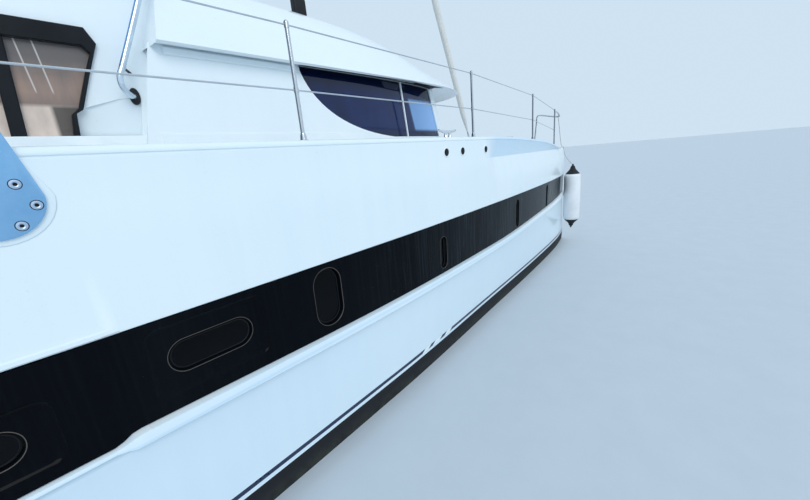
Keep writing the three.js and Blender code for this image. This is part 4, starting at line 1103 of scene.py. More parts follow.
# Hulls and their bands
@dataclass
class Topsides(Sided):
    """One hull with its deck edge, moulded band recess, strake, boot stripes and stern steps."""

    band_top: float = 1.430
    band_depth: float = 0.020
    strake_height: float = 0.058
    strake_out: float = 0.034
    strake_start: float = -0.77
    deck_margin: float = 0.14
    edge_radius: float = 0.03
    knuckle: float = 1.965
    navy_top: float = 0.240
    navy_low: float = 0.207
    black_top: float = 0.176
    ports: tuple[HullPort, ...] = (
        HullPort(-4.30, 1.20, 0.20, 0.082, 0.08, 0.10),
        HullPort(-2.60, 1.19, 0.105, 0.195),
        HullPort(-1.34, 1.13, 0.30, 0.075, 0.10, 0.07),
        HullPort(-0.335, 1.205, 0.205, 0.082, 0.08, 0.10),
        HullPort(0.402, 1.19, 0.108, 0.198),
        HullPort(1.80, 1.13, 0.058, 0.155),
        HullPort(3.81, 1.162, 0.068, 0.195),
        HullPort(5.37, 1.195, 0.055, 0.195),
    )

    def pocket(self, x: float) -> float:
        """How deep the band's recess is at x; deeper behind the ports."""
        near = any(abs(x - p.x) < p.half_x + p.recess + 0.06 for p in self.ports)
        return self.band_depth + (0.06 if near else 0.0) - 0.0195 * ramp(x, -5.88, -5.92)

    def lean_at(self, x: float, z: float) -> float:
        """How deep the moulded hollow along the bow's topside is at x and z."""
        full = min(0.05, (hull_line("gunwale", x) - hull_line("inner", x)) * 0.25)
        above = ramp(z, hull_line("sheer", x) - 0.028, self.knuckle)
        below = ramp(z, 1.76, self.knuckle - 0.01)
        return full * ramp(x, 2.90, 3.06) * (above if z > self.knuckle else below)

    def section(self, x: float) -> list[tuple[float, float, Finish]]:
        """One section as (breadth, z, finish of the strip after it), from the inner deck edge outwards."""
        skin, deck, bottom, stripe = PALETTE.hull, PALETTE.deck, PALETTE.bottom, PALETTE.stripe
        g, inner, sheer, line = (hull_line(c, x) for c in ("gunwale", "inner", "sheer", "strake"))
        strake = strake_top(x)
        wl_out, wl_in, keel = (hull_line(c, x) for c in ("wl_out", "wl_in", "keel"))
        width = g - inner
        r = min(self.edge_radius, width / 4)
        margin = min(self.deck_margin, width * 0.4)
        aft = ramp(x, self.strake_start + 0.03, self.strake_start - 0.03)
        out = min(self.strake_out, width / 3) * (1 - 0.75 * aft)
        tall = self.strake_height * (1 - 0.72 * aft)
        lip = 0.009 * ramp(x, -0.68, -0.73)
        depth = min(self.pocket(x), width / 3)
        rows = [(inner, sheer, skin), (inner + min(0.05, width * 0.1), sheer, deck),
                (g - margin, sheer, skin)]
        rows += [(g - r + r * math.sin(t), sheer - r + r * math.cos(t), skin)
                 for t in spread(0.0, math.pi / 2, 0.32)]
        rows += [
            (g - 0.001, sheer - r - 0.004, skin), (g - 0.006, sheer - r - 0.007, skin),
            (g - 0.006, sheer - r - 0.013, skin), (g, sheer - r - 0.016, skin),
            (g + 0.001, self.knuckle, skin), (g + 0.002, self.knuckle - 0.008, skin),
            (g + 0.003, 1.76, skin), (g + 0.006, self.band_top + 0.030, skin),
            (g + 0.006 + lip, self.band_top + 0.024, skin), (g + 0.006 + lip, self.band_top + 0.008, skin),
            (g + 0.006, self.band_top + 0.004, skin), (g + 0.004, self.band_top, skin),
            (g + 0.006 - depth, self.band_top - 0.005, skin), (g - 0.004 - depth, strake + 0.007, skin),
            (g + out - 0.008, strake + 0.003, skin), (g + out - 0.002, strake - 0.001, skin),
            (g + out, strake - 0.008, skin), (g + out, strake - tall, skin),
            (g + out - 0.006, strake - tall - 0.006, skin), (g - 0.010, line - 0.076, skin),
        ]
        rows = [(b - self.lean_at(x, z) * (b > (g + inner) / 2), z, finish) for b, z, finish in rows]
        top_b, top_z = g - 0.012, line - 0.084
        low_b, low_z = wl_out + 0.012, 0.170

        def side_at(z: float) -> float:
            """The lower topside's breadth at z."""
            return low_b + (top_b - low_b) * (z - low_z) / (top_z - low_z)

        rows += [(top_b, top_z, skin), *((side_at(z), z, finish) for z, finish in (
            (0.6, skin), (self.navy_top, stripe), (self.navy_low, skin), (self.black_top, bottom))),
            (low_b, low_z, bottom), (wl_out, 0.0, bottom)]
        middle, half = (wl_out + wl_in) / 2, (wl_out - wl_in) / 2
        for k in range(1, 16):
            a = math.pi * k / 16
            reach = math.copysign(abs(math.cos(a)) ** 0.85, math.cos(a))
            rows.append((middle + half * reach, keel * math.sin(a) ** 0.8, bottom))
        waist = wl_in - (wl_in - inner) * 0.25
        rows += [(wl_in, 0.0, bottom), (wl_in + (waist - wl_in) * 0.57, 0.188, skin), (waist, 0.33, skin),
                 (inner, 0.79, skin)]
        return rows

    def stations(self) -> list[float]:
        """Where the sections stand: even steps, closer where a detail starts or ends."""
        places = set(spread(-HULL_END, HULL_END, 0.11)) | set(spread(-0.85, 0.9, 0.035))
        for p in self.ports:
            for edge in (p.x - p.half_x - p.recess - 0.06, p.x + p.half_x + p.recess + 0.06):
                places |= {edge - 0.0005, edge + 0.0005}
        return sorted(places)

    def build(self) -> bpy.types.Object:
        """The hull's skin with its stern steps, raked transom and hatch well."""
        sign = self.sign
        draft = Draft(f"hull_skin_{self.label}")
        sections = [(x, self.section(x)) for x in self.stations()]
        rings = [[(x, sign * b, z) for b, z, _ in rows] for x, rows in sections]
        stem = sections[-1][1]
        for dx, share in ((0.012, 0.8), (0.02, 0.4)):
            centre = sum(b for b, _, _ in stem) / len(stem)
            rings.append([(HULL_END + dx, sign * (centre + (b - centre) * share), z) for b, z, _ in stem])
        draft.loft(rings, [finish for _, _, finish in stem], caps=PALETTE.hull)
        hull = draft.make(28.0)
        cuts = Draft("stern_cuts")
        blocks = [[(-7.6, z), (end, z), (end, 2.6), (-7.6, 2.6)]
                  for end, z in ((end, STEP_LOW + STEP_RISE * k) for k, end in enumerate(STEP_ENDS))]
        for block in (*blocks, [(-7.161, -0.5), (-6.89, 0.56), (-7.161, 0.56)]):
            cuts.slab(block, -4.3, -1.6, PALETTE.hull, facing_abeam(-sign))
        cuts.slab(rounded(4.08, 4.52, 2.86, 3.3, 0.04), 1.751, 2.6, PALETTE.inside, lying_on(sign))
        return carved(hull, cuts)

    def publish(self) -> None:
        """Builds the hull."""
        publish(self.build(), "gelcoat", f"hull_{self.label}")


@dataclass
class DarkBand(Sided):
    """The glossy black band in the topside's recess, with moulded recesses and ports."""

    hull: Topsides
    aft_end: float = -5.88
    fore_end: float = 7.135
    rim_radius: float = 0.0019
    deep_recess: float = 0.06
    upright_z: float = 1.42
    batter: float = 0.0095

    def low(self, x: float) -> float:
        """The height of the band's lower edge at x."""
        return strake_top(x) + 0.010

    def face(self, x: float, z: float) -> float:
        """The breadth of the band's outer face at x and z; it draws in towards the lower edge."""
        share = (self.upright_z - z) / (self.upright_z - self.low(x))
        return hull_line("gunwale", x) - self.batter * share

    def place(self, u: float, v: float, w: float) -> Point:
        """The point at x = u and z = v, w inside the outer face."""
        return (u, self.sign * (self.face(u, v) - w), v)

    def skin(self) -> Draft:
        """The strip itself, thicker behind each port."""
        draft = Draft(f"topside_band_skin_{self.label}")
        places = [x for x in self.hull.stations() if self.aft_end < x < self.fore_end]
        rings = []
        for x in [self.aft_end, *places, self.fore_end]:
            thick = min(self.hull.pocket(x), (hull_line("gunwale", x) - hull_line("inner", x)) / 3) - 0.0068
            top, low = self.hull.band_top - 0.007, self.low(x)
            rings.append([self.place(x, z, deep) for z, deep in (
                (top, thick), (top, 0.0015), (top - 0.0015, 0.0), ((top + low) / 2, 0.0), (low, 0.0),
                (low, thick))])
        return draft.loft(rings, PALETTE.band)

    def outline(self, port: HullPort, grow: float) -> Outline:
        """A port's round-ended outline in x and z, grown by that much."""
        a, b = port.half_x + grow, port.half_z + grow
        return rounded(port.x - a, port.x + a, port.z - b, port.z + b, min(a, b) * 0.98, 10)

    def build(self) -> bpy.types.Object:
        """The band with its ports and their moulded recesses cut."""
        band = self.skin().make(30.0)
        cuts = Draft("port_cuts")
        for port in self.hull.ports:
            wide = rounded(port.x - port.half_x - port.recess, port.x + port.half_x + port.recess,
                           port.z - port.half_z - port.lift, port.z + port.half_z + port.lift, 0.055, 8)
            if port.recess > self.deep_recess:
                cuts.stack([(shrink(wide, s), w) for w, s in (
                    (-0.02, 0.0), (0.0, 0.0), (0.004, 0.004), (0.012, 0.022), (0.013, 0.030))],
                    PALETTE.band, self.place)
            cuts.stack([(shrink(self.outline(port, 0.0), s), w) for w, s in (
                (-0.01, -0.006), (0.002, -0.004), (0.006, 0.0), (0.034, 0.006))],
                PALETTE.port_frame, self.place)
        return carved(band, cuts)

    def fittings(self) -> bpy.types.Object:
        """The rims and panes of the ports; the rims' pale brown is a painted highlight."""
        draft = Draft(f"band_ports_{self.label}")
        for port in self.hull.ports:
            level = 0.013 if port.recess > self.deep_recess else 0.0
            rim = [self.place(u, v, level + 0.001) for u, v in self.outline(port, 0.004)]
            draft.tube(rim, self.rim_radius, PALETTE.port_rim, 6, closed=True)
            draft.slab(self.outline(port, -0.001), 0.030, 0.0335, PALETTE.glass_port, self.place)
            inner = self.outline(port, -0.012)
            draft.tube([self.place(u, v, 0.029) for u, v in inner], 0.004, PALETTE.gasket, 6, closed=True)
        return draft.make()

    def publish(self) -> None:
        """Builds the band and its ports."""
        publish(self.build(), "black_band", f"topside_band_{self.label}")
        publish(self.fittings(), "tinted_glass")


# Saloon and flybridge
def mirrored(half: Sequence[tuple[float, float]], z: float) -> list[Point]:
    """A closed ring at height z from a half outline of (x, breadth) that ends on the centreline."""
    starboard = [(x, -y, z) for x, y in half]
    port = [(x, y, z) for x, y in reversed(half[:-1])]
    return starboard + port


def shrink_half(half: Sequence[tuple[float, float]], inset: float) -> Outline:
    """A half outline that ends on the centreline, moved inwards by inset on both sides."""
    ring = [(x, -y) for x, y in half] + [(x, y) for x, y in reversed(half[:-1])]
    return [(x, -y) for x, y in shrink(ring, inset)[:len(half)]]


@dataclass
class SaloonHouse:
    """The hollow saloon house with its windows, frames and mouldings."""

    foot_z: float = 2.13
    top_z: float = 2.797
    wall: float = 0.06
    door_half: float = 1.935
    lip_height: float = 0.042
    pane_inset: float = 0.012
    pane_thick: float = 0.02
    curve_steps: int = 18
    foot: tuple[tuple[float, float], ...] = (
        (-4.6, 3.23), (-0.258, 3.23), (-0.285, 3.345), (1.1, 3.35), (2.05, 3.33), (2.98, 3.20), (3.26, 2.90),
        (3.46, 2.0), (3.54, 1.0), (3.56, 0.0))
    top: tuple[tuple[float, float], ...] = (
        (-4.6, 3.19), (-0.095, 3.19), (-0.122, 3.300), (1.1, 3.29), (1.95, 3.27), (2.80, 3.15), (3.05, 2.85),
        (3.23, 1.98), (3.31, 1.0), (3.33, 0.0))
    front_panes: tuple[tuple[float, float], ...] = ((-0.68, 0.68), (-2.70, -0.78), (0.78, 2.70))

    def half(self, share: float, inset: float = 0.0) -> Outline:
        """The half outline at a share of the height, moved inwards by inset."""
        foot, top = soften(self.foot), soften(self.top)
        line = [(a[0] + (b[0] - a[0]) * share, a[1] + (b[1] - a[1]) * share) for a, b in zip(foot, top)]
        return shrink_half(line, inset) if inset else line

    def side_at(self, x: float, z: float) -> float:
        """The breadth of the side wall at x and z."""
        line = self.half((z - self.foot_z) / (self.top_z - self.foot_z))
        for (x0, y0), (x1, y1) in zip(line, line[1:]):
            if x0 <= x <= x1 and x1 > x0:
                return y0 + (y1 - y0) * (x - x0) / (x1 - x0)
        return line[0][1]

    def shell(self, name: str, outer: float, inner: float, finish: Finish) -> Draft:
        """A closed shell between two insets."""
        rings = [mirrored(self.half(share, inset), self.top_z if share else self.foot_z)
                 for share, inset in ((0, outer), (1, outer), (1, inner), (0, inner))]
        return Draft(name).loft(rings, finish, closed=True)

    def forward_window(self) -> Outline:
        """The long forward window's outline in x and z: a point aft, a curved foot, and a raked front."""
        curve = [tuple((1 - t) ** 2 * a + 2 * t * (1 - t) * b + t * t * c
                       for a, b, c in ((0.85, 0.96, 1.85), (2.796, 2.34, 2.26)))
                 for t in (k / self.curve_steps for k in range(self.curve_steps + 1))]
        return [*curve, (2.78, 2.26), (2.69, 2.796)]

    def aft_window(self) -> Outline:
        """The long aft window's outline in x and z, with its cut corner."""
        return [(-4.25, 2.27), (-0.540, 2.27), (-0.514, 2.418), (-0.480, 2.437), (-0.415, 2.613),
                (-0.352, 2.775), (-0.366, 2.785), (-4.25, 2.785)]

    def prism(self, draft: Draft, outline: Outline, finish: Finish, side: Side) -> None:
        """Adds a block through one side wall over an outline in x and z."""
        draft.slab(outline, 2.9, 3.75, finish, facing_abeam(side.value))

    def front_block(self, draft: Draft, low: float, high: float, finish: Finish) -> None:
        """Adds a block through the front wall, between two places on y."""
        draft.slab(rounded(low, high, 2.30, 2.76, 0.05), 2.6, 3.9, finish, facing_ahead)

    def build(self) -> bpy.types.Object:
        """The house walls with every opening cut."""
        house = self.shell("saloon_walls", 0.0, self.wall, PALETTE.house).make(24.0)
        cuts = Draft("house_cuts")
        for side in Side:
            self.prism(cuts, self.forward_window(), PALETTE.gasket, side)
            self.prism(cuts, self.aft_window(), PALETTE.gasket, side)
            scoop = [(-0.528, 2.19), (-0.262, 2.19), (-0.195, 2.520), (-0.302, 2.504), (-0.512, 2.433)]
            cuts.loft([[(x, side.value * (3.205 - 0.12 * (2.52 - z)), z) for x, z in scoop],
                       [(x, side.value * 3.5, z) for x, z in scoop]], PALETTE.house)
        for low, high in self.front_panes:
            self.front_block(cuts, low, high, PALETTE.gasket)
        half = self.door_half
        cuts.slab([(-half, 2.0), (half, 2.0), (half, 2.71), (-half, 2.71)], -4.8, -4.3, PALETTE.house,
                  facing_ahead)
        return carved(house, cuts, sharp=24.0)

    def pane(self, name: str, finish: Finish, cutter: Draft) -> bpy.types.Object:
        """A curved pane that follows the wall, cut to the opening."""
        glass = self.shell(name, self.pane_inset, self.pane_inset + self.pane_thick, finish).make()
        return carved(glass, cutter, Carve.KEEP)

    def trims(self, side: Side) -> bpy.types.Object:
        """The windows' frames and mullions, the plinth below them and the lip under the eyebrow."""
        draft = Draft(f"window_trims_{side.label}")
        sign = side.value
        wall = self.side_at
        outer = [(-4.32, 2.20), (-0.530, 2.20), (-0.506, 2.418), (-0.474, 2.438), (-0.405, 2.615),
                 (-0.338, 2.778), (-0.374, 2.852), (-4.32, 2.885)]
        inner = [(-4.22, 2.285), (-0.548, 2.285), (-0.526, 2.412), (-0.492, 2.444), (-0.424, 2.618),
                 (-0.376, 2.728), (-0.404, 2.760), (-4.22, 2.790)]

        def aft(u: float, v: float, w: float) -> Point:
            """A point that far outside the flat aft side, which leans in with height."""
            return (u, sign * (3.23 - 0.06 * (v - self.foot_z) + w), v)

        draft.stack([(outer, -0.02), (outer, 0.018), (shrink(outer, 0.004), 0.022),
                     (shrink(inner, -0.003), 0.022), (inner, 0.018), (inner, -0.02)],
                    PALETTE.frame_black, aft, closed=True)
        for x in (-0.745, -1.95, -3.15):
            post = [(x - 0.028, 2.28), (x + 0.028, 2.28), (x + 0.062, 2.80), (x + 0.006, 2.80)]
            draft.stack([(post, -0.012), (post, 0.008), (shrink(post, 0.006), 0.012)],
                        PALETTE.frame_black, aft)
        bar = [(-4.22, 2.452), (-0.49, 2.452), (-0.48, 2.474), (-4.22, 2.474)]
        draft.stack([(bar, -0.030), (bar, -0.014)], PALETTE.frame_black, aft)
        for x, half in ((2.075, 0.008), (2.70, 0.03)):
            lean = -0.09 if x > 2.5 else 0.0
            post = [(x - half - lean, 2.262), (x + half - lean, 2.262), (x + half, 2.794), (x - half, 2.794)]
            draft.stack([(post, out) for out in (-0.03, -0.004, 0.001)], PALETTE.house,
                        lambda u, v, w: (u, sign * (wall(u, v) + w), v))
        plinth = []
        for x in [*spread(-4.46, -0.24, 0.2), *spread(-0.22, 1.42, 0.05)]:
            proud = 0.007 + 0.020 * ramp(x, -0.14, -0.20) - 0.006 * ramp(x, 1.2, 1.4)
            plinth.append([(x, sign * (wall(x, z) + out), z) for out, z in (
                (-0.03, 2.19), (proud, 2.19), (proud, 2.297), (proud - 0.004, 2.303), (-0.03, 2.307))])
        draft.loft(plinth, PALETTE.house)
        low = self.top_z - 0.010 - self.lip_height
        levels = ((low - 0.004, -0.004), (low, 0.012), (low + 0.006, 0.017), (low + 0.034, 0.017),
                  (low + 0.042, 0.010), (low + 0.044, -0.004))
        draft.loft([[(x, sign * (wall(x, z) + out * ramp(x, 0.86, 0.80)), z) for z, out in levels]
                    for x in spread(-0.112, 0.86, 0.06)], PALETTE.house)
        flange = []
        for x in spread(0.86, 2.71, 0.05):
            root, edge = 3.288 - 0.105 * ramp(x, 2.1, 3.0), 3.379 - 0.085 * ramp(x, 2.1, 3.05)
            flange.append([(x, sign * y, z) for y, z in (
                (root - 0.14, 2.7985), (root, 2.7985), (edge, 2.7768), (edge, 2.7748), (root, 2.7965),
                (root - 0.14, 2.7965))])
        draft.loft(flange, PALETTE.gasket)
        return draft.make()

    def publish(self) -> None:
        """Builds the walls, panes and trims."""
        publish(self.build(), "gelcoat", "saloon_house")
        for side in Side:
            for kind, outline, finish in (("forward", self.forward_window(), PALETTE.glass_side),
                                          ("aft", self.aft_window(), PALETTE.glass_aft)):
                cutter = Draft("pane_cut")
                self.prism(cutter, outline, finish, side)
                publish(self.pane(f"{kind}_pane_{side.label}", finish, cutter), "tinted_glass",
                        f"{kind}_window_{side.label}")
            publish(self.trims(side), "gelcoat")
        for label, (low, high) in zip(("centre", "starboard", "port"), self.front_panes):
            cutter = Draft("pane_cut")
            self.front_block(cutter, low, high, PALETTE.glass)
            publish(self.pane(f"front_pane_{label}", PALETTE.glass, cutter), "tinted_glass",
                    f"front_window_{label}")


@dataclass
class Flybridge:
    """The flybridge roof with its eyebrow, side steps, ceiling and coaming, and the hardtop on posts."""

    top_z: float = 3.30
    rings: tuple[tuple[float, tuple[tuple[float, float], ...]], ...] = (
        (2.800, ((-4.95, 3.130), (-0.125, 3.130), (-0.110, 3.290), (2.10, 3.28), (2.98, 3.18), (3.36, 2.90),
                 (3.55, 2.0), (3.63, 1.0), (3.65, 0.0))),
        (2.778, ((-4.95, 3.165), (-0.128, 3.165), (-0.106, 3.385), (2.10, 3.375), (3.05, 3.295),
                 (3.51, 2.985), (3.70, 2.0), (3.78, 1.0), (3.80, 0.0))),
        (2.790, ((-4.95, 3.184), (-0.124, 3.184), (-0.104, 3.402), (2.10, 3.392), (3.05, 3.312),
                 (3.53, 3.000), (3.72, 2.0), (3.80, 1.0), (3.82, 0.0))),
        (3.080, ((-4.95, 3.168), (-0.018, 3.168), (-0.014, 3.245), (1.85, 3.20), (2.65, 3.01), (3.02, 2.70),
                 (3.19, 1.95), (3.27, 1.0), (3.29, 0.0))),
        (3.235, ((-4.95, 3.085), (0.026, 3.085), (0.030, 3.120), (1.60, 3.08), (2.36, 2.88), (2.70, 2.58),
                 (2.88, 1.88), (2.96, 1.0), (2.98, 0.0))),
        (3.282, ((-4.95, 3.030), (0.040, 3.030), (0.044, 3.060), (1.46, 3.02), (2.20, 2.82), (2.54, 2.51),
                 (2.72, 1.84), (2.80, 1.0), (2.82, 0.0))),
        (3.300, ((-4.95, 2.985), (0.045, 2.985), (0.049, 3.005), (1.35, 2.96), (2.05, 2.77), (2.40, 2.44),
                 (2.58, 1.80), (2.66, 1.0), (2.68, 0.0))),
    )

    def build(self) -> bpy.types.Object:
        """The roof skin with the hollow of its ceiling."""
        draft = Draft("flybridge_shell")
        rings = [mirrored(soften(half), z) for z, half in self.rings]
        deck_ring = mirrored(shrink_half(soften(self.rings[-1][1]), 0.12), self.top_z)
        draft.loft([*rings, deck_ring], PALETTE.house)
        draft.finishes[-1] = PALETTE.deck
        roof = draft.make(26.0)
        ceiling = ((-4.88, 2.96), (1.7, 2.88), (2.2, 2.5), (2.56, 1.5), (2.66, 0.0))
        raised = [(x - 0.26 * (x > 0), y - 0.12 * (y > 0)) for x, y in ceiling]
        cut = Draft("ceiling_cut")
        cut.loft([mirrored(soften(line, 1), z) for line, z in (
            (ceiling, 2.7), (ceiling, 2.82), (raised, 3.23))], PALETTE.inside)
        return carved(roof, cut, sharp=26.0)

    def coaming(self) -> bpy.types.Object:
        """The rounded coaming round the flybridge seats."""
        half = soften(((-4.80, 2.905), (-0.60, 2.905), (0.06, 2.60), (0.27, 1.80), (0.27, 0.0)), 1)
        draft = Draft("flybridge_coaming")
        levels = ((3.29, 0.050), (3.66, 0.046), (3.705, 0.040), (3.724, 0.024), (3.730, 0.0), (3.724, -0.024),
                  (3.705, -0.040), (3.66, -0.046), (3.29, -0.050))
        draft.loft([mirrored(shrink_half(half, -out), z) for z, out in levels], PALETTE.house, closed=True)
        return draft.make(40.0)

    def hardtop(self) -> bpy.types.Object:
        """The crowned hardtop with a drip edge on four raked posts."""
        draft = Draft("hardtop_shell")
        outline = rounded(-4.5, -0.5, -2.55, 2.55, 0.35, 10)
        levels = ((5.318, 0.12), (5.304, 0.10), (5.302, 0.03), (5.310, 0.008), (5.330, 0.0), (5.350, 0.008),
                  (5.362, 0.04), (5.369, 0.16))
        draft.stack([(shrink(outline, s), z) for z, s in levels], PALETTE.house)
        for side in Side:
            for x, lean in ((-4.25, 0.06), (-0.90, -0.12)):
                foot, head = Vector((x, side.value * 2.9, 3.722)), Vector((x + lean, side.value * 2.43, 5.33))
                draft.tube([foot, head], 0.036, PALETTE.house, 20)
                draft.turned(foot, foot + UP, ((0.0, 0.075), (0.012, 0.075), (0.02, 0.06)), PALETTE.steel)
                draft.turned(head - UP * 0.032, head, ((0.0, 0.05), (0.01, 0.07), (0.03, 0.07)),
                             PALETTE.steel)
        return draft.make()

    def publish(self) -> None:
        """Builds the roof, coaming and hardtop."""
        publish(self.build(), "gelcoat", "flybridge_roof")
        publish(self.coaming(), "gelcoat")
        publish(self.hardtop(), "gelcoat", "hardtop")


# Deck hardware
def oval(half_u: float, half_v: float, u: float, v: float) -> Outline:
    """An oval outline about (u, v)."""
    return [(u + half_u * math.cos(a), v + half_v * math.sin(a)) for a in around(28)]


@dataclass
class GuardRail(Sided):
    """Stanchions, lifelines and pulpit of one side, grown along the deck edge."""

    height: float = 0.65
    lower: float = 0.29
    post_radius: float = 0.0125
    line_radius: float = 0.0048
    inset: float = 0.08
    posts: tuple[float, ...] = (-5.30, -3.55, -1.75, 0.44, 2.65, 4.74, 6.25)

    def at(self, x: float, rise: float, breadth: float | None = None) -> Point:
        """A place over the deck edge, or at a given breadth."""
        y = hull_line("gunwale", x) - self.inset if breadth is None else breadth
        return (x, self.sign * y, hull_line("sheer", x) + rise)

    def lines(self) -> bpy.types.Object:
        """Stanchions with foot collars and caps, and both lifelines, as one grown piece."""
        tree = Growth(f"guard_rail_lines_{self.label}")
        height, lower = tree.given("Stanchion Height", self.height), tree.given("Lower Line", self.lower)
        post, line = tree.given("Post Radius", self.post_radius), tree.given("Line Radius", self.line_radius)
        stick = tree.swept(tree.upright(height), tree.ring(post, 14))
        knob = tree.moved(tree.node("GeometryNodeMeshUVSphere", {}, {
            "Segments": 14, "Rings": 8, "Radius": post * 1.1}), tree.vector(z=height))
        collars = []
        for radius, depth, rise in ((2.6, 0.006, -0.001), (1.7, 0.030, 0.004), (1.35, 0.016, 0.030)):
            collars.append(tree.moved(tree.node("GeometryNodeMeshCone", {}, {
                "Vertices": 20, "Radius Top": post * (radius * 0.86), "Radius Bottom": post * radius,
                "Depth": depth}), tree.vector(z=rise)))
        sleeves = [tree.moved(tree.node("GeometryNodeMeshCylinder", {}, {
            "Vertices": 14, "Radius": post * 1.18, "Depth": 0.03}), tree.vector(z=level))
            for level in (height - 0.012, lower)]
        stands = tree.copies(tree.joined(stick, knob, *collars, *sleeves))
        wires = [tree.swept(tree.moved(tree.line(), tree.vector(z=level)), tree.ring(line, 8))
                 for level in (height - 0.012, lower)]
        return tree.grow(tree.joined(stands, *wires), [self.at(x, 0.0) for x in self.posts],
                         PALETTE.stanchion, chain=True)

    def pulpit(self) -> bpy.types.Object:
        """The bent bow rail with its feet and a middle bar."""
        inner = hull_line("inner", 6.25) + 0.06
        bow_y = hull_line("gunwale", 6.98) - self.inset - 0.008
        points = [self.at(*place) for place in (
            (6.25, 0.0), (6.25, 0.42), (6.30, 0.60), (6.50, 0.645), (6.85, 0.65), (6.98, 0.65, bow_y - 0.03),
            (6.86, 0.65, bow_y - 0.12), (6.55, 0.64, inner + 0.01), (6.40, 0.59, inner), (6.36, 0.44, inner),
            (6.25, 0.0, inner))]
        draft = Draft(f"pulpit_{self.label}")
        draft.tube(smooth_path(points, 6), 0.0125, PALETTE.stanchion, 12)
        for foot in (points[0], points[-1]):
            draft.turned(foot, Vector(foot) + UP,
                         ((-0.004, 0.034), (0.004, 0.034), (0.008, 0.022), (0.03, 0.018)), PALETTE.stanchion)
        return draft.make()

    def publish(self) -> None:
        """Builds both pieces."""
        publish(self.lines(), "stainless", f"guard_rail_{self.label}")
        publish(self.pulpit(), "stainless")


